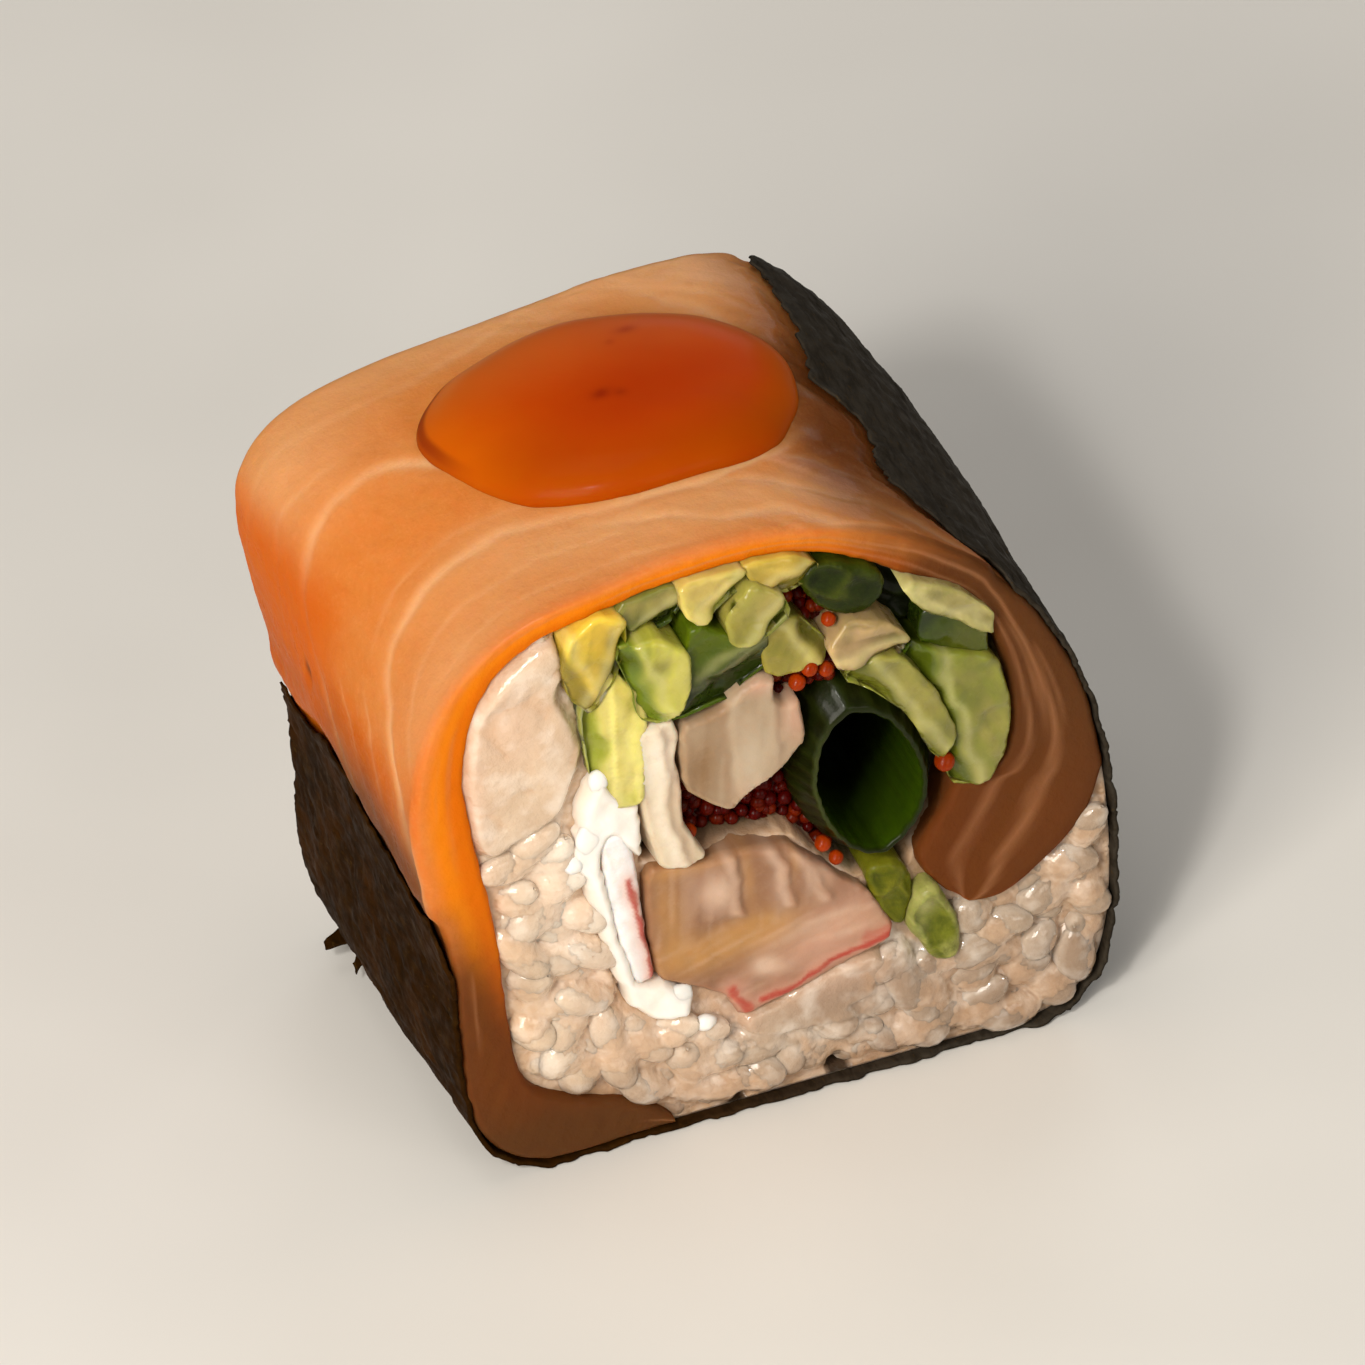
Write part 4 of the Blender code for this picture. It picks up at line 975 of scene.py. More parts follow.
# ----------------------------------------------------------------------- nori
def nori():
    columns, rows = 440, 104
    ts = np.linspace(-1, 1, rows)
    outer = np.zeros((rows, columns, 3))
    inner = np.zeros((rows, columns, 3))
    S = np.zeros((rows, columns))
    for k, t in enumerate(ts):
        s0, s1 = float(nori_left(t)), float(nori_right(t))
        s = np.linspace(s0, s1, columns)
        S[k] = s
        y = t * HALF_LENGTH
        edge = np.minimum((s - s0), (s1 - s))
        lip = ease(1.2, 0.0, edge)
        standing = ring.at(s)[:, 1] > 0.6  # not on the floor
        wrinkle = (0.13 * fbm(s * 0.28, y * 0.28, 0, 201) + 0.06 * fbm(s * 1.1, y * 0.9, 0, 211)
                   + 0.03 * fbm(s * 3.0, y * 3.0, 0, 221, 2))
        creases = -0.10 * np.exp(-((noise(s * 0.55, y * 0.16, 0, 231) / 0.10) ** 2))
        move = (wrinkle + creases) * np.where(standing, 1.0, 0.15)
        move = move + lip * (0.07 + 0.10 * noise(y * 1.3, s * 0.1, 0, 241)) * standing
        thick = NORI_THICK * (1 - 0.45 * lip)
        # Uneven cut at the two faces.
        ends = ease(0.93, 1.0, abs(t)) * np.sign(t)
        push = ends * (0.16 * noise(s * 0.9, 0, 0, 251) + 0.08 * noise(s * 3.1, 0, 0, 252))
        a = ring.at(s, -move)
        b = ring.at(s, -move + thick)
        a[:, 1] = np.maximum(a[:, 1], 0.0)
        b[:, 1] = np.maximum(b[:, 1], 0.12)
        outer[k] = place(a[:, 0], t, a[:, 1], push)
        inner[k] = place(b[:, 0], t, b[:, 1], push)
    n = rows * columns
    o = np.arange(n).reshape(rows, columns)
    i = o + n
    quads = [
        np.stack([o[:-1, :-1], o[:-1, 1:], o[1:, 1:], o[1:, :-1]], -1).reshape(-1, 4),
        np.stack([i[:-1, :-1], i[1:, :-1], i[1:, 1:], i[:-1, 1:]], -1).reshape(-1, 4),
        np.stack([o[0, :-1], i[0, :-1], i[0, 1:], o[0, 1:]], -1),
        np.stack([o[-1, :-1], o[-1, 1:], i[-1, 1:], i[-1, :-1]], -1),
        np.stack([o[:-1, 0], o[1:, 0], i[1:, 0], i[:-1, 0]], -1),
        np.stack([o[:-1, -1], i[:-1, -1], i[1:, -1], o[1:, -1]], -1),
    ]
    points = np.concatenate([outer.reshape(-1, 3), inner.reshape(-1, 3)])
    quads = face_out(points, quads)
    s = np.concatenate([S.ravel(), S.ravel()])
    y = np.tile(np.repeat(ts * HALF_LENGTH, columns), 2)
    warm = ease(-0.3, 0.8, fbm(s * 0.22, y * 0.3, 0, 261))
    thin = ease(0.15, 0.95, fbm(s * 0.9, y * 1.6, 0, 271))
    # right: the sheet's right part, which the material gives a painted sheen.
    right = ease(60, 80, s)
    return mesh_object("nori_wrap", points, quads, {"warm": warm * (1 - 0.7 * right),
                                                    "thin": thin, "right": right})


look = Finish("nori_sheet", srgb(42, 22, 2))
look.over(srgb(62, 34, 5), look.mask("warm"), 0.65)
look.over(srgb(70, 48, 18), look.mask("thin"), 0.35)
# Painted sheen: the sheet's right part greyer and bluer.
look.over(srgb(56, 51, 43), look.mask("right"), 0.9)
fibres = look.noise(1.5, 4.0, 0.7, 0.42, 0.66, stretch=(1.0, 0.30, 1.0), distortion=0.8)
look.over(srgb(16, 9, 2), fibres, 0.6)
look.over(srgb(84, 62, 24), look.noise(4.2, 2.0, 0.6, 0.62, 0.76, stretch=(1.0, 0.4, 1.0)), 0.4)
look.bump(look.noise(1.1, 3.0, 0.6, 0.2, 0.8, stretch=(1.0, 1.0, 0.35)), 0.22, 0.00012)
look.bump(look.noise(5.0, 3.0, 0.6, 0.2, 0.8), 0.30, 0.00006)
nori_material = look.done(rough=0.6, rough_by=look.noise(1.1, 3.0), rough_range=(0.50, 0.80),
                          specular=0.2, ior=1.13)
finish_piece(nori(), nori_material, "nori", "nori")


def nori_tabs():
    """Torn shreds of the sheet's edge standing off the wrap at the lower left."""
    parts = []
    for y0, z0, wide, reach, lift, seed in ((9.0, 1.5, 1.7, 1.5, 0.3, 281),
                                            (7.2, 0.9, 1.1, 0.7, 0.1, 284)):
        across, along = 9, 10
        a = np.linspace(-0.5, 0.5, across)
        b = np.linspace(0, 1, along)
        A, B = np.meshgrid(a, b)
        taper = 1 - 0.60 * B ** 1.6 + 0.28 * noise(B * 7, 0, 0, seed)
        y = y0 + A * wide * taper + 0.35 * B * noise(B * 2, 1, 0, seed + 1)
        s = ring.nearest(-18.9, z0)
        foot = ring.at(np.full(A.size, s)).reshape(A.shape + (2,))
        curl = 0.25 * np.sin(B * 2.4) + 0.14 * noise(A * 3, B * 3, 0, seed + 2)
        x = foot[..., 0] - reach * (0.3 * B + 0.7 * B ** 1.6) + 0.25 + curl * 0.3
        z = np.maximum(foot[..., 1] + lift * B - 0.7 * B ** 2 + 0.35 * A * B, 0.12)
        top = np.stack([x, y, z], -1).reshape(-1, 3) * (1, 1, 1)
        top = place(top[:, 0], top[:, 1] / HALF_LENGTH, top[:, 2])
        low_ = top + np.array([0.05, 0.0, -0.10])
        idx = np.arange(along * across).reshape(along, across)
        n = idx.size
        quads = [np.stack([idx[:-1, :-1], idx[:-1, 1:], idx[1:, 1:], idx[1:, :-1]], -1).reshape(-1, 4)]
        quads.append(quads[0][:, ::-1] + n)
        ring_ = np.concatenate([idx[0, :-1], idx[:-1, -1], idx[-1, :0:-1], idx[:0:-1, 0]])
        nxt = np.roll(ring_, -1)
        quads.append(np.stack([nxt, ring_, ring_ + n, nxt + n], -1))
        points = np.concatenate([top, low_])
        quads = face_out(points, quads)
        parts.append((points, np.concatenate(quads) if isinstance(quads, list) else quads,
                      np.zeros((0, 3), int)))
    return joined("nori_shreds", parts)


finish_piece(nori_tabs(), nori_material, "nori")


# ---------------------------------------------------------- fillings that run
CAP_STEPS = (-1.0, -0.975, -0.94, -0.88, -0.76, -0.5, -0.1, 0.3, 0.6, 0.8, 0.9, 0.95, 0.98, 1.0)


def section_mesh(outline, spacing, seed, hole=None):
    """Triangles of an outline with an even scatter of points inside."""
    loop = anticlockwise(outline)
    coords = [Vector(p) for p in loop]
    edges = []
    if hole is not None:
        n = len(coords)
        coords += [Vector(p) for p in hole]
        edges = [(n + k, n + (k + 1) % len(hole)) for k in range(len(hole))]
    low, high = loop.min(0), loop.max(0)
    xs = np.arange(low[0], high[0], spacing)
    zs = np.arange(low[1], high[1], spacing * 0.87)
    gx, gz = np.meshgrid(xs, zs)
    gx = gx + (np.arange(len(zs)) % 2)[:, None] * spacing / 2
    gx = gx + 0.22 * spacing * noise(gx * 9.7, gz * 9.7, 0, seed)
    gz = gz + 0.22 * spacing * noise(gx * 9.7, gz * 9.7, 5, seed)
    gx, gz = gx.ravel(), gz.ravel()
    keep = inside(gx, gz, loop)
    gx, gz = gx[keep], gz[keep]
    keep = closed_distance(gx, gz, loop) > spacing * 0.55
    if hole is not None:
        keep &= ~inside(gx, gz, hole) & (closed_distance(gx, gz, hole) > spacing * 0.55)
    coords += [Vector((a, b)) for a, b in zip(gx[keep], gz[keep])]
    points, _, tris, _, _, _ = delaunay_2d_cdt(coords, edges, [list(range(len(loop)))], 1, 1e-6)
    tris = np.array([t for t in tris if len(t) == 3], np.int64)
    points = np.array([tuple(p) for p in points])
    if hole is not None:
        middle = points[tris].mean(1)
        tris = tris[~inside(middle[:, 0], middle[:, 1], hole)]
    used = np.unique(tris)
    index = np.full(len(points), -1)
    index[used] = np.arange(len(used))
    return points[used], index[tris], loop


def organic(outline, rounded, grow, wobble, seed, step=0.24):
    loop = anticlockwise(catmull(outline, True, 8) if rounded else softened(outline, 1))
    if grow:
        loop = grown(loop, grow)
    size = np.hypot(*(np.roll(loop, -1, 0) - loop).T).sum()
    loop = evenly(loop, max(24, int(size / step)), True)
    x, z = loop[:, 0], loop[:, 1]
    out = grown(loop, 1.0) - loop
    push = wobble * (0.7 * noise(x * 0.9, z * 0.9, 0, seed) + 0.5 * noise(x * 2.2, z * 2.2, 0, seed + 1))
    return loop + out * push[:, None]


def softened(outline, times=2):
    """Straight sides with eased corners (corner cutting)."""
    p = anticlockwise(np.asarray(outline, float))
    for k in range(times):
        q = np.roll(p, -1, 0)
        cut = 0.12 if k == 0 else 0.25
        p = np.stack([p * (1 - cut) + q * cut, p * cut + q * (1 - cut)], 1).reshape(-1, 2)
    return p


def filling(name, outline, front, back, relief, fields, radius=0.4, spacing=0.25, seed=1,
            side_wave=0.10, hole=None):
    """A piece that runs through the roll, with worked faces at both cuts.

    relief(x, z, d, end) gives how far the face stands proud of its own plane.
    """
    points, tris, loop = section_mesh(outline, spacing, seed, hole)
    x, z = points[:, 0], points[:, 1]
    d = closed_distance(x, z, loop)
    edges = np.concatenate([tris[:, [0, 1]], tris[:, [1, 2]], tris[:, [2, 0]]])
    codes = set(map(tuple, edges))
    rim = np.array([e for e in edges.tolist() if (e[1], e[0]) not in codes], np.int64)
    rim_points = np.unique(rim)
    rim_index = np.full(len(points), -1)
    rim_index[rim_points] = np.arange(len(rim_points))
    curve = radius - np.sqrt(np.maximum(0, radius**2 - np.maximum(0, radius - d) ** 2))
    n = len(points)
    verts, ys, ts = [], [], []
    face_front = place(x, -1.0, z, -front + curve - relief(x, z, d, -1))
    verts.append(face_front)
    middle_rows = CAP_STEPS[1:-1]
    rx, rz = points[rim_points].T
    for t in middle_rows:
        wave = side_wave * ease(1.0, 0.9, abs(t))
        mx = rx + wave * noise(rx * 0.7, rz * 0.7, t * 5, seed + 3)
        mz = rz + wave * noise(rx * 0.7, rz * 0.7, t * 5, seed + 4)
        lead = (-front + radius) * ease(-0.7, -1.0, t) + (back - radius) * ease(0.7, 1.0, t)
        verts.append(place(mx, t, mz, lead))
    verts.append(place(x, 1.0, z, back - curve + relief(x, z, d, 1)))
    m = len(rim_points)
    start = [0] + [n + k * m for k in range(len(middle_rows))] + [n + len(middle_rows) * m]
    total = start[-1] + n
    polygons = [tris, tris[:, ::-1] + start[-1]]
    rows = len(middle_rows) + 2
    for k in range(rows - 1):
        a, b = rim[:, 0], rim[:, 1]
        lower = (a, b) if k == 0 else (rim_index[a] + start[k], rim_index[b] + start[k])
        upper = ((a + start[-1], b + start[-1]) if k == rows - 2
                 else (rim_index[a] + start[k + 1], rim_index[b] + start[k + 1]))
        polygons.append(np.stack([lower[1], lower[0], upper[0], upper[1]], -1))
    points3 = np.concatenate(verts)
    sx = np.concatenate([x] + [rx] * len(middle_rows) + [x])
    sz = np.concatenate([z] + [rz] * len(middle_rows) + [z])
    sd = np.concatenate([d] + [np.zeros(m)] * len(middle_rows) + [d])
    return mesh_object(name, points3, face_out(points3, polygons), fields(sx, sz, sd))


# Cucumber batons and strips: flesh colours, from one side to the other.
def cucumber(name, first, second, towards, skin=None, streak=(80, 0.5), front=0.3, back=0.2,
             grow=0.34, seed=1, rounded=False, shine=0.8, dark=None, radius=0.10, slope=(0, 0),
             chip=0.03, ridges=(), highlight_spots=None, bevels=(), under=None):
    """first and second are display colours at the two sides along `towards` degrees.

    slope tips the cut face; ridges are lines along which the flesh stands proud;
    bevels are knife facets (direction, distance from the middle, fall), coloured
    with `under` as painted shade; ridges, bevel crests and the optional extra spots
    get a painted highlight.
    """
    outline = organic(OUTLINES[name], rounded, grow, 0.06, seed, 0.2)
    centre = outline.mean(0)
    a = turned(outline[:, 0] - centre[0], outline[:, 1] - centre[1], towards)[0]
    low, high = a.min(), a.max()

    def relief(x, z, d, end):
        along, across = turned(x, z, streak[0])
        rows = noise(along * 0.28, across * 2.2, end * 3, seed + 11)
        tone, gap = cells(along * 0.42 + 3, across * 0.72 + 5, seed + 17)
        out = slope[0] * (x - centre[0]) + slope[1] * (z - centre[1])
        out = out + 0.16 * noise(x * 0.9 + 3, z * 0.9, end, seed + 19)
        out = out + chip * tone * ease(0.0, 0.22, gap)
        for line in ridges:
            away, _ = line_distance(x, z, line)
            out = out + 0.16 * (0.7 - np.minimum(away, 1.5))
        for way, start, fall in bevels:
            past = turned(x - centre[0], z - centre[1], way)[0] - start
            past = past + 0.34 * noise(x * 0.7, z * 0.7, 2, seed + 18)
            out = out - fall * np.maximum(0, past) * ease(-0.1, 0.7, past)
        return out + (0.07 * fbm(x * 0.55, z * 0.55, end, seed + 12) + 0.05 * rows
                      + 0.025 * fbm(x * 2.5, z * 2.5, end, seed + 13, 2)) * ease(0, 0.3, d)

    def fields(x, z, d):
        run = (turned(x - centre[0], z - centre[1], towards)[0] - low) / (high - low)
        run = run + 0.18 * fbm(x * 0.6, z * 0.6, 0, seed + 14)
        along, across = turned(x, z, streak[0])
        lines = ease(0.0, 0.8, noise(along * 0.25, across * 2.3, 0, seed + 15))
        tone, gap = cells(along * 0.42 + 3, across * 0.72 + 5, seed + 17)
        out = {"run": ease(0.1, 0.9, run), "lines": lines * streak[1],
               "rim": 1 - ease(0.0, 0.32, d), "chip": 0.5 + 0.5 * tone,
               "seam": (1 - ease(0, 0.12, gap)) * ease(0.1, 0.4, d)}
        # bright: painted highlight along the ridges and the bevel crests, plus any extra spots.
        bright = np.zeros(np.shape(x))
        for line in ridges:
            away, _ = line_distance(x, z, line)
            bright = np.maximum(bright, 0.35 * np.exp(-((away / 0.34) ** 2)))
        # Painted shade on the bevel facets.
        shaded_facet = np.zeros(np.shape(x))
        for way, start, fall in bevels:
            past = turned(x - centre[0], z - centre[1], way)[0] - start
            past = past + 0.34 * noise(x * 0.7, z * 0.7, 2, seed + 18)
            shaded_facet = np.maximum(shaded_facet, ease(-0.05, 0.55, past))
            bright = np.maximum(bright, 0.42 * np.exp(-(((past + 0.25) / 0.30) ** 2)))
        out["shaded_facet"] = shaded_facet
        out["bright"] = np.clip(bright + (blobs(x, z, highlight_spots) if highlight_spots else 0), 0, 1)
        if skin:
            where, width = skin
            edge = (turned(x - centre[0], z - centre[1], where)[0])
            reach = turned(outline[:, 0] - centre[0], outline[:, 1] - centre[1], where)[0].max()
            out["skin"] = ease(reach - width * 1.3, reach - width * 0.5,
                               edge + 0.25 * noise(x * 0.9, z * 0.9, 0, seed + 16))
        if dark:
            out["shade"] = np.clip(blobs(x, z, dark), 0, 1)
        return out

    obj = filling(name + "_cut", outline, front, back, relief, fields, radius, 0.2, seed)
    look = Finish(name + "_flesh", srgb(*first))
    look.over(srgb(*second), look.mask("run"))
    pale = tuple(min(255, c * 1.14 + 18) for c in first)
    deep = tuple(c * 0.74 for c in second)
    look.over(srgb(*deep), look.mask("chip"), 0.16)
    look.over(srgb(*pale), look.mask("lines"), 0.55)
    look.over(tuple(c * k for c, k in zip(srgb(*second), (0.40, 0.55, 0.25))),
              look.noise(0.46, 2.0, 0.5, 0.44, 0.70, distortion=0.2), 0.46)
    look.over(srgb(*(min(255, c * 1.16 + 20) for c in first)),
              look.noise(0.40, 2.0, 0.5, 0.50, 0.74, distortion=0.2), 0.30)
    look.over(srgb(*deep), look.mask("seam"), 0.10)
    look.over(srgb(*pale), look.mask("rim"), 0.30)
    # Painted shade colour for the bevel facets.
    shadow_side = under or tuple(c * k for c, k in zip(second, (0.50, 0.62, 0.30)))
    look.over(srgb(*shadow_side), look.mask("shaded_facet"), 0.85)
    if dark:
        look.over(srgb(46, 46, 4), look.mask("shade"), 0.9)
    # Painted highlight on ridges and bevel crests.
    look.over(srgb(230, 222, 158), look.mask("bright"), 0.62)
    if skin:
        look.over(srgb(30, 42, 4), look.mask("skin"), 0.95)
    look.bump(look.noise(0.8, 2.0, 0.5, 0.2, 0.8), 0.22, 0.0002)
    look.bump(look.noise(3.0, 3.0, 0.6, 0.2, 0.8), 0.16, 0.00008)
    material = look.done(rough=0.30, rough_by=look.noise(1.0, 2.0), rough_range=(0.20, 0.36),
                         flesh=0.55, radius=(0.7, 1.0, 0.25), depth=0.0013, coat=shine * 1.3,
                         coat_rough=0.10, ior=1.3)
    return finish_piece(obj, material, "cucumber", name)


cucumber("cucumber_top_left", (206, 172, 52), (196, 166, 60), -60, seed=300, front=0.75,
         dark=[(-7.9, 33.9, 0.9, 1.0, 1.0), (-8.0, 36.2, 0.5, 0.6, 0.5)], streak=(75, 0.6),
         slope=(-0.10, 0.08), bevels=[(-20, 0.75, 0.9), (200, 1.0, 0.5)], under=(120, 104, 10))
cucumber("cucumber_long", (216, 200, 110), (200, 184, 84), 85, seed=310, front=0.45,
         streak=(86, 0.9), slope=(0.10, -0.04), skin=None, bevels=[(180, 0.55, 1.0)],
         ridges=([(-8.0, 31.8), (-7.7, 28.8), (-7.9, 26.0)],), under=(140, 150, 40))
cucumber("cucumber_round", (156, 152, 44), (190, 182, 92), -8, seed=320, front=1.25,
         dark=[(-7.3, 34.4, 0.6, 0.6, 0.7), (-5.6, 33.9, 0.7, 0.45, 0.5)], streak=(75, 0.9),
         radius=0.25, slope=(0.12, 0.02), bevels=[(195, 0.35, 0.8)], under=(86, 110, 8))
cucumber("cucumber_top_dark", (52, 70, 4), (150, 138, 70), 95, seed=330, front=0.15,
         dark=[(-5.2, 36.0, 1.4, 0.5, 0.8)], bevels=[(-60, 0.3, 0.7)], under=(24, 38, 2))
cucumber("cucumber_edge", (196, 176, 92), (184, 160, 84), 60, seed=340, front=0.85,
         streak=(35, 0.8), slope=(0.0, -0.14), bevels=[(-50, 0.35, 0.9)], under=(96, 112, 16))
cucumber("cucumber_block", (136, 128, 50), (162, 146, 76), 55, seed=350, front=1.35,
         radius=0.12, slope=(0.05, -0.16), streak=(42, 0.7), bevels=[(-45, 0.30, 0.9)],
         under=(70, 88, 8))
cucumber("cucumber_skin_slice", (50, 68, 0), (84, 96, 2), 62, seed=360, front=0.75,
         shine=0.35, skin=(-74, 3.0), streak=(34, 0.7), slope=(0.02, 0.12),
         bevels=[(-62, 0.5, 0.22)], under=(40, 58, 2),
         ridges=([(-3.4, 31.9), (-2.3, 32.9), (-0.6, 33.5)],))
cucumber("cucumber_olive", (138, 126, 44), (166, 148, 72), -40, seed=370, front=0.65,
         streak=(60, 0.6), slope=(0.08, -0.02), bevels=[(20, 0.5, 0.8)], under=(72, 70, 12))
cucumber("cucumber_top_right", (184, 156, 62), (150, 126, 46), -50, seed=380, front=0.6,
         streak=(-20, 0.6), slope=(0, -0.12), bevels=[(-70, 0.35, 0.7)], under=(100, 92, 18))
cucumber("cucumber_pink_edge", (172, 142, 98), (112, 96, 46), 30, seed=390, front=1.05,
         streak=(-5, 0.7), slope=(-0.04, -0.10), bevels=[(-80, 0.45, 0.8)], under=(104, 84, 44))
cucumber("cucumber_diagonal", (126, 120, 46), (138, 130, 62), 28, seed=400, front=0.95,
         streak=(-62, 1.0), slope=(0.02, 0.02), bevels=[(205, 0.45, 0.9)], under=(84, 88, 14))
cucumber("cucumber_rim", (162, 150, 92), (112, 102, 38), -45, seed=410, front=0.85,
         streak=(-45, 0.8), bevels=[(-130, 0.25, 0.8)], under=(84, 84, 18))
cucumber("cucumber_right_dark", (44, 60, 3), (84, 88, 10), -20, seed=420, front=0.2,
         skin=(130, 0.9), streak=(-50, 0.6))
cucumber("cucumber_slab", (100, 104, 22), (144, 136, 66), -30, seed=430, front=0.65,
         streak=(-72, 1.0), skin=(175, 0.5), slope=(-0.05, 0.02), radius=0.18,
         bevels=[(190, 0.7, 0.7)], under=(66, 80, 6))


# Leaves and bits of scallion.
def green_bit(name, base, light, dark_colour, front, back, seed, shine=0.45, ridge=0.25,
              bright=None, slot="leaf", streak=-40):
    outline = organic(OUTLINES[name], True, 0.22, 0.14, seed)

    def relief(x, z, d, end):
        along, across = turned(x, z, streak)
        fold = 1 - np.abs(noise(along * 0.35, across * 1.1, end, seed + 1)) * 2.2
        return (ridge * fold + 0.05 * fbm(x * 2.2, z * 2.2, end, seed + 2)) * ease(0, 0.5, d)

    def fields(x, z, d):
        along, across = turned(x, z, streak)
        fold = 1 - np.abs(noise(along * 0.35, across * 1.1, -1, seed + 1)) * 2.6
        out = {"fold": ease(0.2, 0.9, fold), "rim": 1 - ease(0, 0.4, d),
               "bright": np.clip(blobs(x, z, bright), 0, 1) if bright else 0 * x}
        return out

    obj = filling(name + "_green", outline, front, back, relief, fields, 0.3, 0.2, seed)
    look = Finish(name + "_look", srgb(*base))
    look.over(srgb(*light), look.mask("fold"), 0.6)
    look.over(srgb(*dark_colour), look.noise(0.9, 3.0, 0.6, 0.42, 0.66), 0.7)
    look.over(srgb(*light), look.mask("rim"), 0.4)
    look.over(srgb(168, 166, 104), look.mask("bright"), 0.9)
    look.bump(look.noise(2.4, 3.0, 0.6, 0.2, 0.8), 0.4, 0.00012)
    material = look.done(rough=0.34, flesh=0.25, radius=(0.4, 1.0, 0.15), depth=0.0006,
                         coat=shine * 0.5, coat_rough=0.10, ior=1.25)
    return finish_piece(obj, material, slot, name)


green_bit("leaf_top", (34, 44, 3), (72, 80, 14), (14, 20, 2), 0.25, 0.2, 500)
green_bit("leaf_right", (14, 18, 4), (34, 42, 10), (6, 8, 2), -1.6, -0.4, 510, shine=0.3)
green_bit("scallion_bit", (92, 94, 10), (124, 120, 30), (52, 60, 4), 0.05, 0.1, 520,
          slot="scallion", streak=-70)
green_bit("scallion_ring_bit", (112, 116, 30), (176, 172, 100), (60, 68, 6), 0.55, 0.0, 530,
          bright=[(8.5, 11.3, 0.6, 0.7, 0.9), (8.0, 9.9, 0.5, 0.6, 0.5)], slot="scallion",
          streak=-65)


# Crab sticks: pressed white flesh in flakes, with a red skin.
# steps: flake edges as (line, height, reach): the flesh is proud on the line's left side.
CRAB = {
    "crab_chunk": dict(
        grain=84, fibre=0.012, front=0.60, back=0.2, seed=600, slope=(0.02, 0.05),
        brown=[(-3.6, 25.6, 1.1, 3.0, 1.0), (-2.9, 28.9, 1.6, 0.6, 0.5)],
        pink=[(1.9, 27.4, 0.8, 1.8, 0.9), (0.4, 30.2, 1.1, 0.6, 0.9), (-0.9, 23.2, 0.9, 0.6, 0.5)],
        bright=[(-0.9, 25.0, 0.8, 3.0, 0.8), (0.6, 25.6, 0.8, 2.4, 0.5)],
        steps=[([(0.9, 31.0), (0.8, 27.6), (0.5, 22.0)], 0.09, 2.4),
               ([(-1.7, 30.0), (-1.9, 26.0), (-1.7, 21.6)], -0.10, 1.2)], red=[],
        flesh=(168, 144, 116), clear=(196, 178, 154), shade_colour=(136, 102, 66)),
    "crab_strip_upper": dict(
        grain=84, fibre=0.012, front=0.55, back=0.3, seed=610, slope=(0.05, 0.0),
        brown=[(-4.6, 20.2, 0.8, 1.2, 0.4), (-6.9, 24.0, 0.4, 3.0, 0.3)],
        pink=[(-5.0, 24.6, 0.35, 3.2, 0.5)],
        bright=[(-6.0, 26.8, 0.9, 2.4, 0.8)],
        steps=[([(-5.9, 29.2), (-5.7, 26.0), (-5.8, 22.0), (-4.9, 18.8)], 0.16, 0.7)], red=[],
        flesh=(212, 196, 168), clear=(242, 230, 212), shade_colour=(160, 126, 88)),
    "crab_stick": dict(
        grain=17, upper=84, fibre=0.016, front=0.12, back=0.0, seed=620, slope=(0.0, 0.0),
        brown=[(-4.4, 12.2, 3.2, 1.5, 1.0), (-6.2, 15.4, 1.0, 3.2, 0.8),
               (-1.0, 12.8, 1.9, 1.1, 0.9), (-1.5, 16.6, 0.4, 1.9, 0.8),
               (1.3, 16.9, 0.35, 1.2, 0.6), (-5.0, 18.4, 2.4, 0.5, 0.6),
               (0.4, 12.0, 2.0, 1.6, 0.4), (4.4, 11.4, 1.6, 1.0, 0.35)],
        pink=[(3.8, 11.6, 2.6, 2.2, 0.8), (1.2, 10.2, 2.6, 1.3, 0.7), (-2.4, 8.4, 1.0, 0.9, 0.6)],
        bright=[(-3.2, 16.2, 1.1, 1.4, 1.0), (2.6, 15.4, 0.8, 1.6, 0.7),
                (-1.0, 10.2, 0.8, 0.6, 1.0), (-0.4, 9.6, 1.2, 0.5, 0.6),
                (3.4, 12.2, 2.4, 0.30, 0.5), (3.8, 10.8, 2.2, 0.25, 0.4), (0.4, 15.2, 0.6, 1.8, 0.5),
                (1.6, 11.6, 2.4, 0.5, 0.35)],
        steps=[([(-2.3, 18.7), (-1.9, 16.6), (-2.3, 15.4), (-1.9, 14.0)], 0.26, 2.2),
               ([(0.0, 18.4), (0.9, 16.6), (0.7, 15.2), (1.0, 13.6)], 0.20, 1.6),
               ([(1.5, 17.6), (2.4, 15.9), (2.7, 14.6), (3.2, 13.2)], 0.16, 1.2)],
        red=[([(-3.0, 8.9), (-2.7, 8.1), (-2.1, 7.2)], 0.30, 0.9),
             ([(-1.3, 7.6), (0.5, 8.05), (3.0, 9.1), (5.2, 9.5), (6.6, 9.9)], 0.24, 1.0),
             ([(5.0, 10.0), (6.6, 10.3)], 0.32, 0.45)],
        flesh=(142, 102, 76), clear=(210, 178, 154), shade_colour=(184, 136, 80)),
    "crab_strip_side": dict(
        grain=96, fibre=0.02, front=0.35, back=0.1, seed=630, slope=(0, 0),
        brown=[], pink=[(-7.8, 14.0, 0.4, 3.0, 0.3)],
        bright=[(-9.0, 17.0, 0.7, 5.0, 1.0)], steps=[],
        red=[([(-8.4, 18.9), (-8.1, 16.8), (-7.75, 14.2), (-7.45, 11.4)], 0.20, 1.0)],
        flesh=(228, 222, 220), clear=(250, 246, 244), shade_colour=(206, 188, 178)),
}


def line_low(line):
    return min(p[1] for p in line) - 0.3


def line_high(line):
    return max(p[1] for p in line) + 0.3


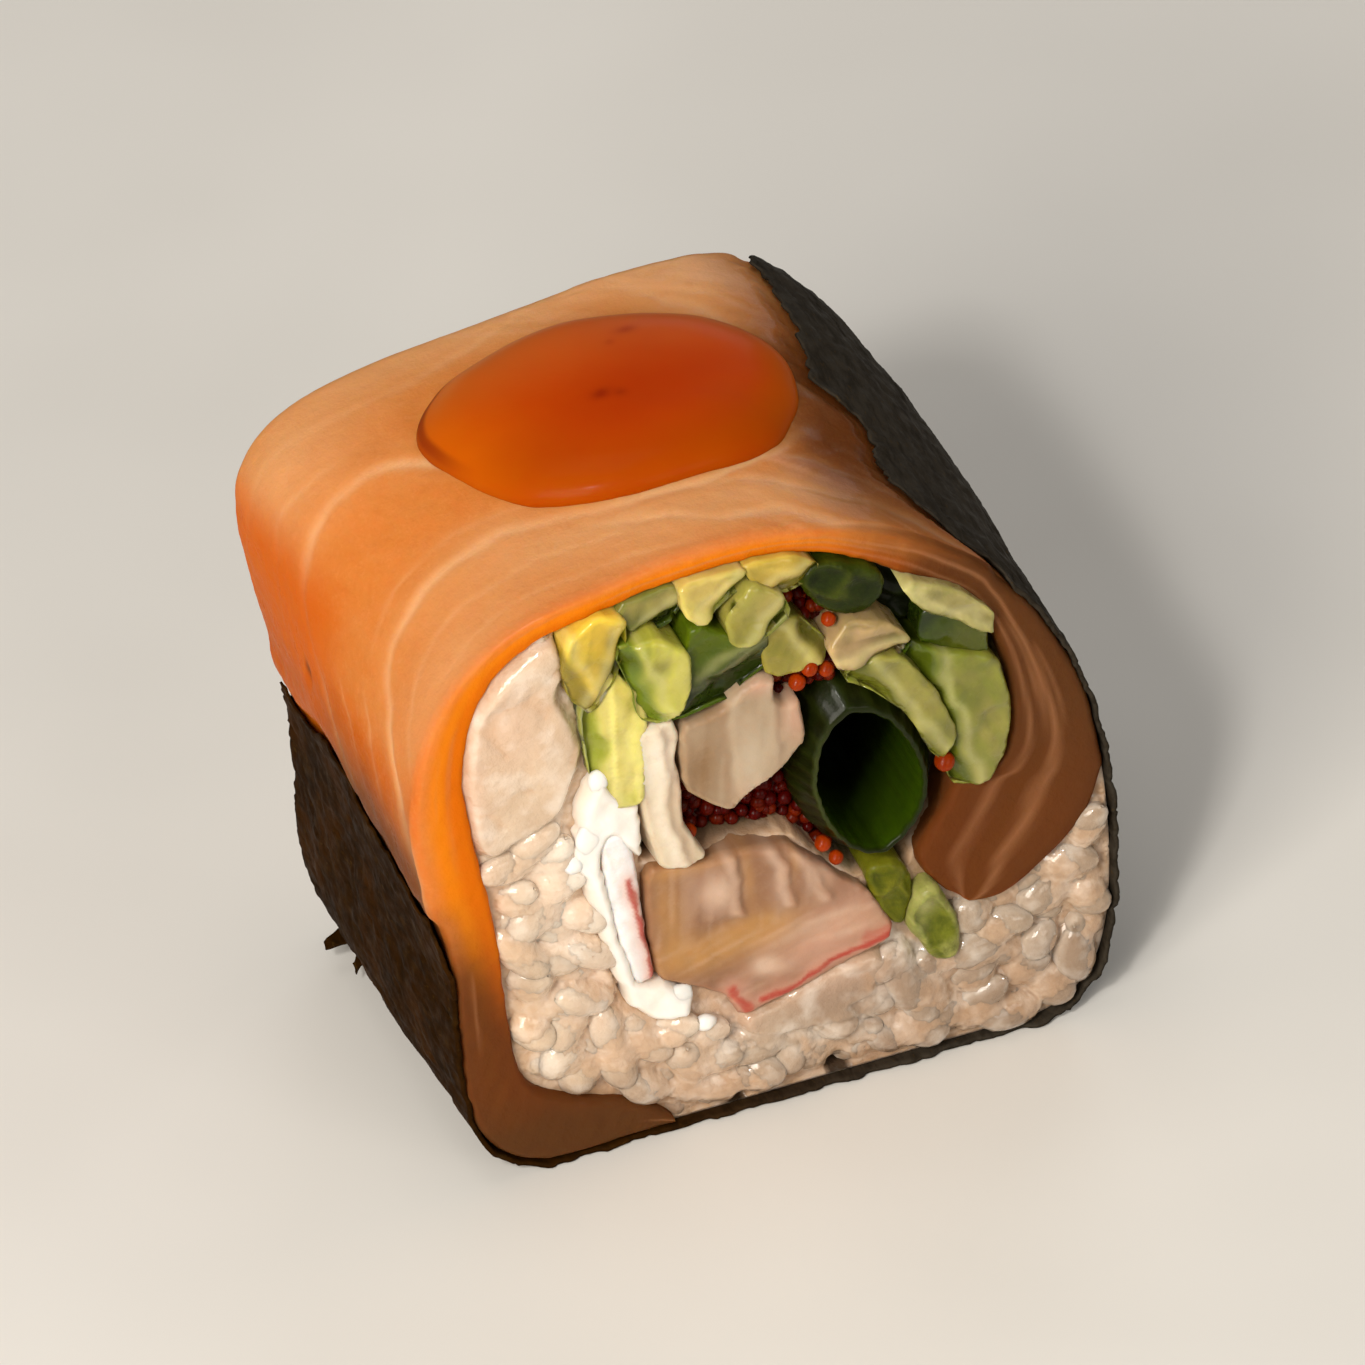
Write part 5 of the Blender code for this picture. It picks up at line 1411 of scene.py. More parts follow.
def crab(name, grain, fibre, front, back, seed, slope, brown, pink, bright, steps, red,
         flesh=(196, 166, 134), clear=(226, 204, 178), shade_colour=(168, 122, 76), upper=None):
    outline = organic(OUTLINES[name], False, 0.12, 0.06, seed, 0.2)
    centre = outline.mean(0)

    def strands(x, z, slow, fast, end, key):
        """Fibres: along the grain below, along `upper` in the flakes above."""
        along, across = turned(x, z, grain)
        out = noise(along * slow, across * fast, end, key)
        if upper is not None:
            along, across = turned(x, z, upper)
            share = ease(12.4, 13.8, z + 0.3 * noise(x * 0.6, 0, 0, seed + 19))
            out = out * (1 - share) + share * noise(along * slow, across * fast, end, key + 20)
        return out

    def edge_of(x, z, line):
        line = np.asarray(line, float)
        order = np.argsort(line[:, 1])
        at = np.interp(z, line[order, 1], line[order, 0])
        at = at + 0.16 * noise(z * 1.1, line[0, 0], 0, seed + 8)
        span = (z > line[:, 1].min() - 0.3) & (z < line[:, 1].max() + 0.3)
        return x - at, span

    def relief(x, z, d, end):
        out = fibre * (strands(x, z, 0.30, 4.6, end, seed + 3)
                       + strands(x, z, 0.22, 2.1, end, seed + 9))
        out = out + 0.10 * fbm(x * 0.6, z * 0.6, end, seed + 4)
        out = out + slope[0] * (x - centre[0]) + slope[1] * (z - centre[1])
        for line, height, reach in steps:
            side, span = edge_of(x, z, line)
            fade = np.minimum(ease(0, 0.8, z - line_low(line)), ease(0, 0.8, line_high(line) - z))
            run = np.where(side < 0, np.exp(side / reach), 1 - ease(0.0, 0.34, side))
            out = out + height * run * span * fade
        for line, width, strength in red:
            away, _ = line_distance(x, z, line)
            out = out + 0.10 * strength * np.exp(-((away / (width * 1.4)) ** 2))
        return out * ease(0, 0.3, d)

    def fields(x, z, d):
        wob_x = x + 0.12 * noise(x * 1.4, z * 1.4, 0, seed + 5)
        wob_z = z + 0.12 * noise(x * 1.4, z * 1.4, 3, seed + 5)
        line_mask = np.zeros(np.shape(x))
        soft = np.zeros(np.shape(x))
        for line, width, strength in red:
            away, run = line_distance(wob_x, wob_z, catmull(line, False, 8))
            wide = width * (1 + 0.3 * noise(run * 7, 0, 0, seed + 6))
            line_mask = np.maximum(line_mask, strength * np.exp(-((away / wide) ** 4)))
            soft = np.maximum(soft, strength * np.exp(-((away / (wide * 3.0)) ** 2)))
        # lip: painted highlight along each flake edge; the nook mask: painted shade at the foot of each step.
        lip = np.zeros(np.shape(x))
        nook_shade = np.zeros(np.shape(x))
        for line, height, reach in steps:
            side, span = edge_of(x, z, line)
            if height < 0:
                side = -side
            fade = np.minimum(ease(0, 0.8, z - line_low(line)), ease(0, 0.8, line_high(line) - z))
            faint = min(1.0, abs(height) / 0.2)
            lip = np.maximum(lip, 0.7 * faint * fade * span * np.exp(-(((side + 0.35) / 0.42) ** 2)))
            nook_shade = np.maximum(nook_shade, faint * fade * span * np.exp(-(((side - 0.30) / 0.30) ** 2)))
        shade = blobs(x, z, brown) if brown else 0 * x
        shade = shade + 0.10 * strands(x, z, 0.3, 0.9, 0, seed + 10)
        return {"brown": np.clip(shade, 0, 1) * (1 if brown else 0.2),
                "pink": np.clip(blobs(x, z, pink), 0, 1),
                "bright": np.clip(np.maximum(blobs(x, z, bright), lip), 0, 1),
                "nook_shade": nook_shade, "red": line_mask, "blush": soft,
                "fibre": ease(-0.1, 0.9, strands(x, z, 0.25, 3.0, 0, seed + 7))}

    obj = filling(name + "_flesh", outline, front, back, relief, fields, 0.22, 0.18, seed)
    look = Finish(name + "_look", srgb(*flesh))
    look.over(srgb(*shade_colour), look.mask("brown"), 0.9)
    look.over(srgb(204, 158, 134), look.mask("pink"), 0.75)
    # Pale flesh patches, partly painted highlight on lit facets and flake lips.
    look.over(srgb(*clear), look.mask("bright"), 0.92)
    look.over(srgb(*clear), look.mask("fibre"), 0.20)
    # Painted shade at the foot of each flake step.
    look.over(srgb(150, 102, 66), look.mask("nook_shade"), 0.45)
    look.over(srgb(212, 156, 134), look.mask("blush"), 0.6)
    look.over(srgb(172, 52, 38), look.mask("red"), 0.88)
    look.over(srgb(182, 148, 116), look.noise(1.3, 3.0, 0.6, 0.5, 0.75), 0.22)
    look.bump(look.noise(3.0, 3.0, 0.6, 0.2, 0.8), 0.16, 0.00008)
    material = look.done(rough=0.42, flesh=0.55, radius=(1.0, 0.6, 0.4), depth=0.0009,
                         coat=0.20, coat_rough=0.2)
    return finish_piece(obj, material, "crab_stick", name)


for crab_name, facts in CRAB.items():
    crab(crab_name, **facts)


# Cream cheese: a soft smeared band, plus the loose dabs beside it.
def cheese():
    narrowed = [(-9.3, 26.6), (-8.3, 24.3), (-7.4, 23.8), (-7.5, 20.0), (-9.0, 22.6),
                (-9.8, 21.4), (-9.6, 18.0), (-9.1, 14.0), (-8.5, 11.2), (-6.9, 10.8),
                (-5.3, 9.5), (-5.6, 8.3), (-7.9, 8.6), (-9.0, 10.6), (-9.7, 13.4),
                (-10.0, 16.0), (-10.6, 19.0), (-11.3, 21.2), (-10.6, 23.4), (-10.4, 25.2)]
    outline = organic(narrowed, False, 0.16, 0.18, 700)

    def relief(x, z, d, end):
        return (0.36 * fbm(x * 0.34, z * 0.26, end, 701) + 0.03 * fbm(x * 1.1, z * 1.1, end, 702)
                + 0.15) * ease(0, 0.7, d)

    def fields(x, z, d):
        return {"shade": ease(-0.2, 0.9, fbm(x * 0.5, z * 0.5, 0, 703)),
                "rim": 1 - ease(0, 0.5, d)}

    return filling("cream_cheese_smear", outline, 0.45, 0.1, relief, fields, 0.55, 0.2, 700)


look = Finish("cream_cheese_look", srgb(244, 238, 230))
look.over(srgb(236, 222, 204), look.mask("shade"), 0.45)
look.over(srgb(232, 212, 188), look.mask("rim"), 0.45)
look.bump(look.noise(1.6, 3.0, 0.5, 0.2, 0.8), 0.2, 0.0001)
cheese_material = look.done(rough=0.38, flesh=0.5, radius=(1.0, 0.85, 0.7), depth=0.0008,
                            coat=0.25, coat_rough=0.15)
finish_piece(cheese(), cheese_material, "cream_cheese", "cream_cheese")


dabs = [(-9.45, 26.3, 0.62, 0.80), (-4.7, 7.2, 0.66, 0.50),
        (-6.2, 9.6, 1.0, 0.75), (-10.3, 22.4, 0.8, 1.3), (-11.3, 20.9, 0.6, 0.6)]
finish_piece(
    joined("cream_cheese_dabs", [
        lump(x, z, -1.0, -0.12, 1.0, 710 + k, (20, 14), (a, 0.42, b))
        for k, (x, z, a, b) in enumerate(dabs)
    ]), cheese_material, "cream_cheese")


# ------------------------------------------------------------------- scallion
def scallion():
    around, rows = 150, 46
    outer = evenly(grown(catmull(SCALLION, True, 12), 0.22), around, True)
    bore = evenly(catmull(BORE, True, 12), around, True)
    # Start both loops at the same bearing from the middle.
    centre = bore.mean(0)

    def from_left(loop):
        loop = anticlockwise(loop)
        bearing = np.arctan2(loop[:, 1] - centre[1], loop[:, 0] - centre[0])
        order = np.argsort(bearing)
        return loop[order]

    outer, bore = from_left(outer), from_left(bore)
    trip = [(y, 0.0) for y in np.linspace(0.012, 0.988, rows)]
    trip += [(0.996, 0.12), (1.0, 0.35), (1.0, 0.65), (0.996, 0.9)]
    trip += [(y, 1.0) for y in np.linspace(0.988, 0.012, rows)]
    trip += [(0.004, 0.9), (0.0, 0.65), (0.0, 0.35), (0.004, 0.12)]
    points = np.zeros((len(trip), around, 3))
    depth = np.zeros((len(trip), around))
    bearing = np.arctan2(outer[:, 1] - centre[1], outer[:, 0] - centre[0])
    for k, (y, w) in enumerate(trip):
        t = -1 + 2 * y
        thin = 0.72 * max(float(ease(0.075, 0.0, y)), float(ease(0.925, 1.0, y)))
        skin = outer * (1 - thin) + bore * thin
        spot = skin * (1 - w) + bore * w
        ridge = 0.05 * np.sin(bearing * 26) + 0.05 * noise(bearing * 3, t * 4, 0, 801)
        spot = centre + (spot - centre) * (1 - (0.02 * w) + ridge[:, None] * 0.18)
        lead = -0.65 * ease(-0.7, -1.0, t) + 0.4 * ease(0.7, 1.0, t)
        lead = lead + (0.16 * noise(bearing * 1.6, 0, 0, 802)) * ease(0.8, 1.0, abs(t))
        points[k] = place(spot[:, 0], t, spot[:, 1], lead)
        depth[k] = w
    n = len(trip)
    idx = np.arange(n * around).reshape(n, around)
    right, down = np.roll(idx, -1, 1), np.roll(idx, -1, 0)
    quads = np.stack([idx, right, np.roll(right, -1, 0), down], -1).reshape(-1, 4)
    flat = points.reshape(-1, 3)
    w = depth.ravel()
    b = np.tile(bearing, n)
    y = np.repeat([a for a, _ in trip], around)
    cut = ease(0.02, 0.2, w) * (1 - ease(0.8, 0.98, w)) * ((y < 0.02) | (y > 0.98))
    return mesh_object("scallion_leaf", flat, face_out(flat, [quads]), {
        "inside": ease(0.8, 1.0, w), "cut": cut,
        "left": ease(0.2, 0.9, -np.cos(b)), "vein": ease(0.1, 0.9, np.sin(b * 26)),
        # painted shade deep inside the bore, full a few mm in
        "deep_in_shade": np.clip((np.minimum(y, 1 - y)) * 4.6, 0, 1) * (w > 0.5),
    })


look = Finish("scallion_look", srgb(19, 21, 2))
look.over(srgb(52, 60, 10), look.mask("vein"), 0.20)
look.over(srgb(50, 72, 3), look.mask("inside"), 0.9)
look.over(srgb(28, 34, 4), look.mask("cut"), 0.8)
# Painted highlight on the left part of the cut rim.
look.over(srgb(84, 92, 36), look.times(look.mask("cut"), look.mask("left")), 0.32)
# Painted shade deep inside the bore.
look.over(srgb(6, 7, 1), look.mask("deep_in_shade"), 0.95)
look.over(srgb(30, 42, 8), look.noise(0.7, 3.0, 0.6, 0.4, 0.7), 0.4)
look.bump(look.noise(2.2, 3.0, 0.6, 0.2, 0.8, stretch=(1.0, 0.15, 1.0)), 0.3, 0.00012)
finish_piece(scallion(), look.done(rough=0.34, flesh=0.15, radius=(0.4, 1.0, 0.2), depth=0.0005,
                                   coat=0.2, coat_rough=0.10, ior=1.25), "scallion",
             "scallion_tube")


# ------------------------------------------------------------------------ roe
def roe_bed(name, front, back, seed):
    outline = organic(OUTLINES[name], False, 0.35, 0.12, seed)

    def relief(x, z, d, end):
        _, gap = cells(x * 1.15, z * 1.15, seed + 1)
        return 0.16 * ease(0, 0.5, gap) * ease(0, 0.4, d)

    def fields(x, z, d):
        _, gap = cells(x * 1.15, z * 1.15, seed + 1)
        return {"gap": 1 - ease(0, 0.35, gap)}

    return filling(name + "_bed", outline, front, back, relief, fields, 0.25, 0.24, seed)


# Roe bed: its dark red is partly painted shade of the recess; the near-black gaps between beads are painted shade.
look = Finish("roe_bed_look", srgb(58, 8, 3))
look.over(srgb(24, 3, 2), look.mask("gap"), 0.8)
look.over(srgb(60, 10, 4), look.noise(0.8, 2.0), 0.5)
bed_material = look.done(rough=0.3, flesh=0.2, radius=(1, 0.2, 0.05), depth=0.0005, coat=0.4)
for bed_name, bed_front, bed_back, bed_seed in (
    ("roe_main", -2.8, -1.7, 900), ("roe_upper", -1.2, -1.1, 910), ("roe_top", -1.8, -1.2, 920)
):
    finish_piece(roe_bed(bed_name, bed_front, bed_back, bed_seed), bed_material, "roe", bed_name)


def scatter(loop, spacing, seed, tries=9000, edge=0.0):
    """Dart throwing inside an outline: points at least `spacing` apart."""
    rng = np.random.default_rng(seed)
    low, high = loop.min(0), loop.max(0)
    cand = rng.uniform(low, high, (tries, 2))
    cand = cand[inside(cand[:, 0], cand[:, 1], loop)]
    if edge:
        cand = cand[closed_distance(cand[:, 0], cand[:, 1], loop) > edge]
    kept = np.zeros((0, 2))
    for p in cand:
        if len(kept) == 0 or np.min(np.hypot(*(kept - p).T)) > spacing:
            kept = np.vstack([kept, p])
    return kept


def roe():
    rng = np.random.default_rng(77)
    beads, tone = [], []
    for name, front, back in (("roe_main", -2.5, -1.5), ("roe_upper", -0.9, -0.8),
                              ("roe_top", -1.5, -0.9)):
        loop = catmull(OUTLINES[name], True, 4)
        for end, push in ((-1, front), (1, back)):
            for layer in range(2):
                for x, z in scatter(loop, 0.62, 940 + layer + end * 7, 6000):
                    r = rng.uniform(0.32, 0.50)
                    y = -push if end < 0 else push
                    y += (-1 if end < 0 else 1) * rng.uniform(-0.55, 0.25)
                    beads.append(lump(x, z, float(end), y, r, 5, (10, 7)))
                    tone.append(rng.uniform(0, 0.6) if name == "roe_main" else rng.uniform(0, 0.8))
    # Loose ones that show at the front: by the diagonal strip and beside the tube.
    for x, z, y, r in ((10.4, 21.0, -0.35, 0.62), (3.1, 30.3, -0.5, 0.5), (4.1, 29.8, -0.35, 0.48),
                       (2.4, 29.4, -0.3, 0.52), (3.2, 17.1, 0.3, 0.5), (3.9, 15.8, 0.35, 0.45),
                       (4.6, 33.0, -0.1, 0.45), (-4.3, 20.4, 0.6, 0.48)):
        beads.append(lump(x, z, -1.0, y, r, 5, (14, 10)))
        tone.append(1.0)
    size = np.concatenate([np.full(len(b[0]), v) for b, v in zip(beads, tone)])
    return joined("roe_beads", beads, {"tone": size})


# Bead colours kept very dark, partly as painted shade of the recess.
look = Finish("roe_bead_look", srgb(72, 3, 1))
look.over(srgb(186, 66, 6), look.times(look.mask("tone"), look.mask("tone")), 0.60)
look.over(srgb(54, 4, 2), look.noise(0.5, 2.0), 0.4)
finish_piece(roe(), look.done(rough=0.28, flesh=0.5, radius=(1, 0.3, 0.08), depth=0.0006,
                              coat=0.16, coat_rough=0.08, ior=1.2), "roe")


# ----------------------------------------------------------------------- rice
BED = ring.at(ring.length * np.arange(220) / 220, 0.34)
_outer, _ = salmon_outside(0.0)
SALMON_BLOCK = np.concatenate([evenly(inner_line, 120), evenly(_outer, 120)[::-1]])
FILLED = [(name, catmull(o, True, 3)) for name, o in OUTLINES.items()]
FILLED.append(("scallion_tube", catmull(SCALLION, True, 4)))


def room_chart():
    """Depth of free room for rice on a fine chart: mm to the nearest thing in the way."""
    xs = np.arange(-21.0, 21.01, 0.14)
    zs = np.arange(-0.5, 41.01, 0.14)
    gx, gz = np.meshgrid(xs, zs)
    free = np.where(inside(gx, gz, BED), closed_distance(gx, gz, BED), -1.0)
    slice_ = grown(SALMON_BLOCK, 0.0)
    taken = inside(gx, gz, slice_)
    d = closed_distance(gx, gz, slice_)
    free = np.minimum(free, np.where(taken, -d, d) + 0.35)
    for name, loop in FILLED:
        low, high = loop.min(0) - 2.5, loop.max(0) + 2.5
        c = slice(*np.searchsorted(xs, (low[0], high[0])))
        r = slice(*np.searchsorted(zs, (low[1], high[1])))
        px, pz = gx[r, c], gz[r, c]
        d = closed_distance(px, pz, loop)
        free[r, c] = np.minimum(free[r, c], np.where(inside(px, pz, loop), -d, d) + 0.35)
    return xs, zs, free


ROOM_X, ROOM_Z, ROOM = room_chart()
# Between the greens, the crab and the roe there are only shadowed gaps.
GREENS = np.array([(-10.1, 31.4), (-10.9, 34.0), (-10.8, 37.0), (-7.0, 38.6), (0.0, 39.2),
                   (5.0, 38.6), (10.0, 35.9), (13.6, 31.8), (14.8, 27.0), (14.6, 20.4),
                   (12.2, 18.4), (10.0, 16.6), (8.6, 14.4), (7.7, 12.8), (6.6, 13.4),
                   (5.0, 13.8), (3.5, 15.4), (1.8, 18.2), (-4.0, 18.6), (-7.3, 19.0),
                   (-7.0, 24.0), (-8.8, 24.6), (-9.6, 26.8)])


def rice_room(x, z):
    """Whether rice may lie at each point: inside the wrap, clear of the fillings."""
    c = np.clip(np.round((x - ROOM_X[0]) / 0.14).astype(int), 0, len(ROOM_X) - 1)
    r = np.clip(np.round((z - ROOM_Z[0]) / 0.14).astype(int), 0, len(ROOM_Z) - 1)
    return ROOM[r, c] > 0


# The smooth pressed block at the upper left, and the smooth patch under the red skin.
BLOCK = catmull([(-17.2, 27.0), (-16.9, 31.0), (-15.2, 34.6), (-12.4, 36.6), (-11.0, 36.8),
                 (-10.3, 35.6), (-10.2, 34.2), (-10.9, 32.9), (-10.5, 31.6), (-10.0, 30.0),
                 (-9.8, 28.2), (-10.6, 26.4), (-11.4, 24.6), (-12.8, 23.6), (-14.2, 23.2),
                 (-15.6, 22.6), (-16.9, 23.6)], True, 8)
PATCH = catmull([(-2.6, 6.9), (-0.4, 7.4), (2.4, 8.4), (4.8, 8.9), (6.0, 8.6), (6.2, 7.4),
                 (5.7, 6.4), (5.3, 5.4), (3.6, 4.9), (1.4, 4.3), (-0.8, 4.6), (-2.6, 5.4)],
                True, 8)
LEFT_PATCH = catmull([(-15.8, 9.0), (-15.9, 13.0), (-16.0, 17.2), (-14.8, 16.2), (-14.0, 14.2),
                      (-13.8, 12.0), (-14.6, 10.0)], True, 8)


_px, _pz = np.meshgrid(ROOM_X, ROOM_Z)
PATCHED = inside(_px, _pz, BLOCK) | inside(_px, _pz, PATCH)


def smooth_patch(x, z):
    return PATCHED[int(round((z - ROOM_Z[0]) / 0.14)), int(round((x - ROOM_X[0]) / 0.14))]


GREEN_CHART = inside(_px, _pz, GREENS)


def greens(x, z):
    return GREEN_CHART[int(round((z - ROOM_Z[0]) / 0.14)), int(round((x - ROOM_X[0]) / 0.14))]


# Where the rice does not reach the sheet at the bottom of the front cut.
NOTCHES = [(-3.1, 0.4, 0.55, 1.0, 1.0), (3.0, 0.4, 0.75, 1.2, 1.0), (-8.2, 0.5, 0.8, 0.7, 0.8),
           (8.4, 0.3, 0.6, 0.7, 0.7)]


def grains_for(end, seed):
    """Grains showing at one face: centre, length, width, thickness, turn, tilt, depth."""
    rng = np.random.default_rng(seed)
    found = []
    for layer, (spacing, sink) in enumerate(((1.72, -0.40), (1.5, 0.30))):
        centres = np.zeros((0, 2))
        for attempt in range(5200):
            x = rng.uniform(-17.5, 20.0)
            z = rng.uniform(0.4, 38.0)
            if not rice_room(x, z):
                continue
            if end < 0 and layer == 0:
                if smooth_patch(x, z):
                    continue
            if greens(x, z):
                continue
            if end < 0 and float(blobs(x, z, NOTCHES)) > 0.12:
                continue
            if len(centres) and np.min(np.hypot(*(centres - (x, z)).T)) < spacing:
                continue
            whole = attempt < 3400
            length = rng.uniform(2.8, 4.6) if whole else rng.uniform(2.2, 3.0)
            width = rng.uniform(1.95, 2.6)
            turn = rng.uniform(0, math.pi)
            tilt = rng.normal(0, 0.32)
            if rng.uniform() < 0.12:
                tilt = rng.uniform(0.5, 0.8)
            half_l = 0.5 * max(length * math.cos(tilt), width)
            c, s = math.cos(turn), math.sin(turn)
            a = np.linspace(0, 2 * np.pi, 10, endpoint=False)
            ex = x + half_l * np.cos(a) * c - 0.5 * width * np.sin(a) * s
            ez = z + half_l * np.cos(a) * s + 0.5 * width * np.sin(a) * c
            if ez.min() < 0.30 or not rice_room(ex, ez).all():
                continue
            centres = np.vstack([centres, (x, z)])
            found.append((x, z, length, width, width * rng.uniform(0.82, 0.95), turn, tilt,
                          sink + rng.uniform(-0.22, 0.25), rng.uniform(0, 1)))
    return found


GRAINS = {-1: grains_for(-1, 4001), 1: grains_for(1, 4002)}


def grain_mesh(g, end, seed):
    x, z, length, width, thick, turn, tilt, sink, tone = g
    around, along = 13, 11
    s = np.sin(np.linspace(-1, 1, along) * 1.47)
    ph = np.linspace(0, 2 * np.pi, around, endpoint=False)
    S, P = np.meshgrid(s, ph, indexing="ij")
    # Profile of a short grain: full in the middle, one end blunter, one end with a nick.
    profile = (1 - np.abs(S) ** 2.5) ** 0.5 * (1 - 0.10 * S)
    profile = profile * (1 - 0.05 * np.exp(-(((S - 0.8) / 0.2) ** 2)) * (1 + np.cos(P)))
    profile = profile * (1 + 0.06 * noise(S * 2.1, np.cos(P) * 1.2, np.sin(P) * 1.2, seed))
    lx = S * length / 2
    ly = profile * np.cos(P) * width / 2 + 0.16 * (1 - S**2) * width / 2
    lz = profile * np.sin(P) * thick / 2
    pts = np.stack([lx.ravel(), ly.ravel(), lz.ravel()], 1)
    tips = np.array([[-length / 2, 0.0, 0], [length / 2, 0.0, 0]])
    pts = np.concatenate([pts, tips])
    # Tilt out of the face, then turn in it. Local z is the depth direction.
    ct, st = math.cos(tilt), math.sin(tilt)
    px, py, pz = pts.T
    px, pz = px * ct - pz * st, px * st + pz * ct
    c, s_ = math.cos(turn), math.sin(turn)
    gx, gz = px * c - py * s_, px * s_ + py * c
    top = pz.max()
    depth = (top - pz) + sink  # 0 at the face plane, growing inwards
    base = place(x + gx, float(end), z + gz)
    base[:, 1] += depth if end < 0 else -depth
    base[:, 2] = np.maximum(base[:, 2], 0.30)
    rows = along
    idx = np.arange(rows * around).reshape(rows, around)
    nxt = np.roll(idx, -1, 1)
    quads = np.stack([idx[:-1], idx[1:], nxt[1:], nxt[:-1]], -1).reshape(-1, 4)
    n = rows * around
    a = np.stack([nxt[0], idx[0], np.full(around, n)], -1)
    b = np.stack([idx[-1], nxt[-1], np.full(around, n + 1)], -1)
    if end > 0:
        quads, a, b = quads[:, ::-1], a[:, ::-1], b[:, ::-1]
    return base, quads, np.concatenate([a, b])


def rice_grains():
    parts, tone = [], []
    for end in (-1, 1):
        for k, g in enumerate(GRAINS[end]):
            part = grain_mesh(g, end, 5000 + k)
            parts.append(part)
            tone.append(np.full(len(part[0]), g[8]))
    points = np.concatenate([p[0] for p in parts])
    x, z = points[:, 0], points[:, 2]
    quads = []
    count = 0
    for p, q, _ in parts:
        quads.append(q + count)
        count += len(p)
    facing = np.abs(vertex_normals(points, [np.concatenate(quads)])[:, 1])
    return joined("rice_grains", parts, {
        # rim: painted highlight on the grain sides that turn away from the face
        "tone": np.concatenate(tone), "rim": ease(0.80, 0.35, facing),
        **rice_fields(x, z, points[:, 1])})


def rice_fields(x, z, y):
    """Colour fields shared by the grains and the bed they sit in."""
    front = y < 0
    warm = blobs(x, z, [(-13.6, 30.0, 4.5, 9.0, 0.9), (-15.0, 11.0, 2.0, 6.5, 0.8),
                        (0.0, 4.0, 7.0, 3.0, 0.6), (-13.0, 5.0, 4.5, 1.6, 0.9),
                        (3.5, 6.8, 3.2, 1.8, 0.5)])
    pink = blobs(x, z, [(-14.2, 32.0, 2.0, 3.5, 0.6), (3.4, 7.2, 3.6, 1.6, 0.9),
                        (-16.6, 28.0, 0.8, 4.0, 0.6), (-2.6, 6.4, 1.2, 1.2, 0.5)])
    grey = ease(4.0, 9.0, x) * (1 - ease(14, 22, z)) * 0.9
    grey = grey + blobs(x, z, [(9.5, 14.8, 1.8, 3.6, 0.9), (2.9, 2.0, 1.0, 1.2, 0.5)])
    white = blobs(x, z, [(-12.0, 17.5, 1.9, 4.0, 0.9), (-12.6, 21.0, 1.8, 1.8, 0.6),
                         (-5.0, 6.6, 1.6, 1.4, 0.5)])
    # under: painted shade in the gaps along the bottom where the rice meets the sheet, and one at the left.
    under = blobs(x, z, [(-12.5, 4.6, 3.0, 0.8, 0.9), (-7.0, 1.4, 1.2, 1.3, 0.8),
                         (-1.1, 0.6, 0.6, 1.0, 1.0), (5.0, 0.5, 0.7, 0.9, 1.0),
                         (8.7, 0.5, 0.8, 0.8, 0.8), (-15.2, 13.2, 0.8, 1.8, 0.5)])
    # Painted shade: darker towards the bottom of the front cut and over its lower right.
    lower_right_shade = blobs(x, z, [(3.0, 6.4, 4.4, 1.9, 0.75), (9.5, 14.8, 1.8, 3.6, 0.4)])
    lower_right_shade = lower_right_shade + 0.62 * ease(2.5, 9.0, x) * (1 - ease(14, 20, z)) + 0.75 * ease(8.5, 2.5, z)
    return {"lower_right_shade": np.clip(lower_right_shade, 0, 1) * front, "warm": np.clip(warm, 0, 1) * front, "pink": np.clip(pink, 0, 1) * front,
            "grey": np.clip(grey, 0, 1) * np.where(front, 1, 0.3),
            "white": np.clip(white, 0, 1) * front, "under": np.clip(under, 0, 1) * front}


def free_room(x, z):
    """The room chart read between its points."""
    c = np.clip((x - ROOM_X[0]) / 0.14, 0, len(ROOM_X) - 1.001)
    r = np.clip((z - ROOM_Z[0]) / 0.14, 0, len(ROOM_Z) - 1.001)
    ci, ri = c.astype(int), r.astype(int)
    u, v = c - ci, r - ri
    return ((ROOM[ri, ci] * (1 - u) + ROOM[ri, ci + 1] * u) * (1 - v)
            + (ROOM[ri + 1, ci] * (1 - u) + ROOM[ri + 1, ci + 1] * u) * v)


def pressed_grains():
    """Grains pressed into one another in the smooth patches: centre, sizes, turn, height."""
    rng = np.random.default_rng(4100)
    kept = []
    for loop in (BLOCK, PATCH):
        for x, z in scatter(grown(loop, 0.8), 2.0, 4101, 2500):
            kept.append((x, z, rng.uniform(3.6, 5.4), rng.uniform(2.3, 3.0),
                         rng.uniform(0, math.pi), rng.uniform(-0.16, 0.16)))
    return kept


def pressed_height(x, z, sharp=5.0):
    total = np.full(x.shape, math.exp(sharp * -0.42))
    for gx, gz, length, width, turn, lift in PRESSED:
        c, s = math.cos(turn), math.sin(turn)
        dx, dz = x - gx, z - gz
        q = 1 - ((dx * c + dz * s) / (length / 2)) ** 2 - ((-dx * s + dz * c) / (width / 2)) ** 2
        h = lift + 0.62 * (np.sqrt(np.maximum(0, q)) - 1)
        total = total + np.where(q > 0, np.exp(sharp * h), 0)
    return np.log(total) / sharp


def fused_height(x, z, end, sharp=3.6):
    """The sticky mass: every grain's dome run softly into the next."""
    total = np.full(x.shape, math.exp(sharp * -0.8))
    for gx, gz, length, width, thick, turn, tilt, sink, _ in GRAINS[end]:
        c, s = math.cos(turn), math.sin(turn)
        dx, dz = x - gx, z - gz
        half_l = 0.5 * max(length * math.cos(tilt), width)
        q = 1 - ((dx * c + dz * s) / half_l) ** 2 - ((-dx * s + dz * c) / (width / 2)) ** 2
        h = -sink - 0.17 + thick / 2 * (np.sqrt(np.maximum(0, q)) - 1)
        total = total + np.where(q > 0, np.exp(sharp * h), 0)
    return np.log(total) / sharp


